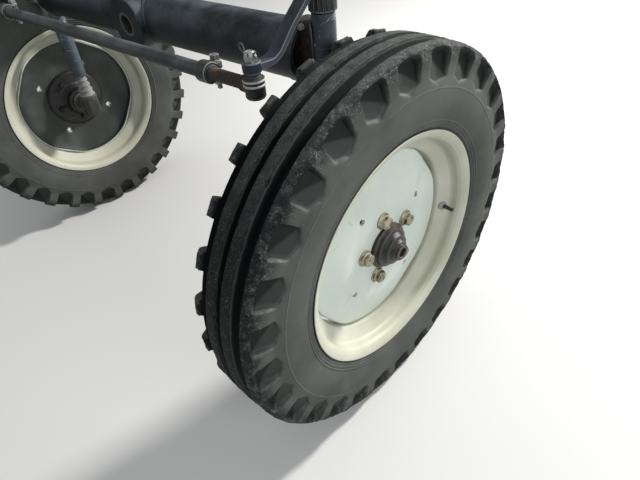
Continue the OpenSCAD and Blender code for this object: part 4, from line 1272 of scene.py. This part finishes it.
def makeBallStuds():
    # Ball, neck and threaded stud are one turned line, with a castle nut and a split pin.
    look = SimpleNamespace(**ballLook)
    line = ballRows(look.ball, look.centre, 58, 18) + [(look.neck, 10), (look.stud, 16), (look.stud, 42.6)]
    line += threadRows(look.stud, look.threadDepth, look.threadStart, look.threadStep, look.threadRows)
    stud = lathe(np.array(line + [(5.6, look.top), (0, look.top)]), 48, closed=False)
    nut = castleNut(look.acrossFlats, look.seat, look.hexTop, look.nutTop, look.stud + 0.1)
    pin = moved(splitPin(look.pinHalf, look.pinRod, look.pinLoop, look.pinBend), (0, 0, look.hexTop + 2.0))
    stud, nut, pin = [moved(part, (0, -armLook["length"], 0)) for part in (stud, nut, pin)]
    makeBoth("ballStudNut", [stud, nut], "knuckle", "brightFinish", "ball_stud")
    makeBoth("studSplitPin", [pin], "knuckle", "forgedBlack")
    print("ball studs made")


makeBallStuds()


tieLook = dict(
    cup=16.5, cupLow=-20.0, cupTop=12.0, mouth=10.6, cavity=12.05, shank=11.0, shankEnd=132.0, collar=13.6,
    collarEnd=25.0, knurls=22, knurlDepth=0.9, tube=13.0, tubeStart=99.0, threadStart=83.0, threadStep=1.1,
    threadDepth=0.9, threadRows=19, ringWidth=3.6, ringRadius=18.2, ringAt=(3.0, 10.4),
    cover=[(10.6, 12, 0.3), (17.4, 12, 1), (17.4, 13.6, 1.5), (13, 14.8, 1), (13.6, 16.2, 1),
           (12.8, 17.4, 0.8), (11.6, 18.2, 0.8), (12.4, 19.6, 0.8), (12.4, 21.2, 0.5), (10.6, 21.2, 0.3)])


def makeTieEnds():
    # A turned cup round the ball, two rings, a knurled collar, a threaded shank and a cover.
    look = SimpleNamespace(**tieLook)
    c, low, top = look.cup, look.cupLow, look.cupTop
    outside = roundedLine([(0, low), (c - 5, low), (c - 3.2, low + 1.6), (c - 1.6, low + 1.8), (c, low + 4.5),
                           (c, top), (look.mouth, top), (look.mouth, top - 4)],
                          [0, 1, 0.8, 0.8, 2, 1.2, 1, 0], 3, support=1)
    cup = lathe(np.concatenate([outside, ballRows(look.cavity, 0, 60, 14)[::-1]]), 72, closed=False)
    half = look.ringWidth / 2
    rings = [ring(c - 2, look.ringRadius, z - half, z + half, [0.3, 1.5, 1.5, 0.3], 72, 4)
             for z in look.ringAt]
    grooves = lambda angle: look.knurlDepth * (np.sin(angle * look.knurls) > 0.2)
    knurl = lambda angle, radius: np.where(radius > look.collar - 0.5, radius - grooves(angle), radius)
    r, end, small = look.collar, look.collarEnd, look.shank - 0.8
    collar = turned([(0, c - 4, 0), (r - 1.5, c - 4, 1), (r, c, 0.8), (r, end, 0.8), (r - 2, end + 1.5, 1),
                     (small, end + 3, 1), (0, end + 3, 0)], 176, 2, knurl)
    line = [(0, 20), (small, 20), (small, 30), (look.shank, 33), (look.shank, 82)]
    line += threadRows(look.shank, look.threadDepth, look.threadStart, look.threadStep, look.threadRows)
    line += [(look.shank - 0.1, 105), (look.shank - 0.1, look.shankEnd), (0, look.shankEnd)]
    shank = lathe(np.array(line), 48, closed=False)
    inwards = [moved(toX(part), turn=np.diag([-1, 1, 1])) for part in (collar, shank)]
    makeBoth("tieEndCup", [cup], "tie", "greasyBlack")
    makeBoth("tieEndRings", rings, "tie", "brightFinish")
    makeBoth("tieEndShank", inwards, "tie", "rustyForged", "tie_end")
    makeBoth("dustCoverRibbed", [turned(look.cover, 72, 3, support=0)], "tie", "blackRubber",
             "dust_cover")
    print("tie rod's ends made")


makeTieEnds()


clampLook = dict(centre=118.0, width=26.0, radius=18.5, bore=13.05, lugNear=26.0, lugFar=10.0, lugTop=13.0,
                 slit=1.6, boltAt=20.0, bolt=9.0, acrossFlats=15.0, tail=22.0)


def makeTieRod():
    # A tube along X. Each clamp is a band with two rounded ears and a bolt through them.
    tie, look = SimpleNamespace(**tieLook), SimpleNamespace(**clampLook)
    half = kingpinAt - tie.tubeStart
    tube = ring(tie.shank + 0.05, tie.tube, -half, half, [0.8, 1.6, 1.6, 0.8], 64)
    place = (frames["left"]["tie"] + frames["right"]["tie"]) / 2
    place[:, 0] = [1, 0, 0]
    makePiece("tieRodTube", [toX(tube)], place, "tie_rod", "tubePaint", ["tie_rod_tube"])

    w = look.width / 2
    band = toX(ring(look.bore, look.radius, -w, w, [0.6, 2, 2, 0.6], 72))
    ear = roundedLine([(-w, look.lugFar), (-w, look.lugNear), (w, look.lugNear), (w, look.lugFar)],
                      [1, 5, 5, 1], 5, closed=True)
    parts = [band, plate(ear, look.slit, look.lugTop, 1.4), plate(ear, -look.lugTop, -look.slit, 1.4)]
    parts = [moved(part, (-look.centre, 0, 0)) for part in parts]
    bolt = boltWithNut(look.acrossFlats, look.bolt, look.lugTop, -look.lugTop, look.tail)
    bolt = moved(bolt, (-look.centre, look.boltAt, 0))
    makeBoth("tieClampBand", parts, "tie", "greasyBlack", "tie_clamp")
    makeBoth("tieClampBolt", [bolt], "tie", "brightFinish")
    print("tie rod made")


makeTieRod()


# Camera, floor and light

photoCamera = dict(place=(1.0994, -0.6109, 0.3093), right=(0.7515, 0.652, -0.1011),
                   up=(-0.379, 0.552, 0.7428), lens=26.857, sensor=36.0)   # lens and sensor in millimetres


def addObject(name, data):
    thing = bpy.data.objects.new(name, data)
    bpy.context.scene.collection.objects.link(thing)
    return thing


def makeCamera():
    data = bpy.data.cameras.new("camera")
    data.lens, data.sensor_width, data.clip_start = photoCamera["lens"], photoCamera["sensor"], 0.01
    camera = addObject("camera", data)
    right, up = Vector(photoCamera["right"]).normalized(), Vector(photoCamera["up"]).normalized()
    back = right.cross(up).normalized()
    turn = Matrix((right, back.cross(right), back)).transposed().to_4x4()
    camera.matrix_world = Matrix.Translation(photoCamera["place"]) @ turn
    bpy.context.scene.camera = camera


makeCamera()


floorLook = dict(reach=12.0, seen=(0.74, 0.74, 0.73, 1), lit=(0.34, 0.34, 0.33, 1), roughness=0.9)


def makeFloor():
    # One large sheet just under the tyres, pale to the camera and to glossy rays.
    low, reach = cadBounds[0][2], floorLook["reach"]
    mesh = bpy.data.meshes.new("floor")
    mesh.from_pydata([(-reach, -reach, low), (reach, -reach, low), (reach, reach, low), (-reach, reach, low)],
                     [], [(0, 1, 2, 3)])
    floor = addObject("floor", mesh)
    w, shader, _, _ = newMaterial("floorPale")
    rays = w.add("LightPath")
    seen = w.most(rays["Is Camera Ray"], w.most(rays["Is Glossy Ray"], rays["Is Transmission Ray"]))
    w.feed(shader["Base Color"], w.mix(seen, floorLook["lit"], floorLook["seen"]))
    shader["Roughness"].default_value = floorLook["roughness"]
    mesh.materials.append(finishes["floorPale"])


makeFloor()


lampLook = {
    # direction from the object, size in metres, irradiance at the object, colour
    "key": ((0.37, 0.82, 0.44), 0.5, 4.3, (1.0, 0.98, 0.94)),
    "front": ((0.97, -0.04, 0.24), 2.2, 1.1, (0.96, 0.98, 1.0)),
    "left": ((-0.75, -0.55, 0.45), 2.6, 0.12, (0.95, 0.98, 1.0))}
lampDistance = 4.0
worldLook = dict(Color=(0.96, 0.98, 1.0, 1), Strength=0.38)


def makeLights():
    for name, (direction, size, level, colour) in lampLook.items():
        data = bpy.data.lights.new(name, "AREA")
        data.shape = "DISK"
        data.size = size
        data.energy = level * math.pi * lampDistance ** 2
        data.color = colour
        lamp = addObject(name, data)
        way = Vector(direction).normalized()
        lamp.location = way * lampDistance
        lamp.rotation_euler = way.to_track_quat("Z", "Y").to_euler()
    world = bpy.data.worlds.new("studio")
    bpy.context.scene.world = world
    world.use_nodes = True
    background = next(node for node in world.node_tree.nodes if node.type == "BACKGROUND")
    for key, value in worldLook.items():
        background.inputs[key].default_value = value


makeLights()
bpy.context.scene.view_settings.view_transform = "Standard"

print("scene made")
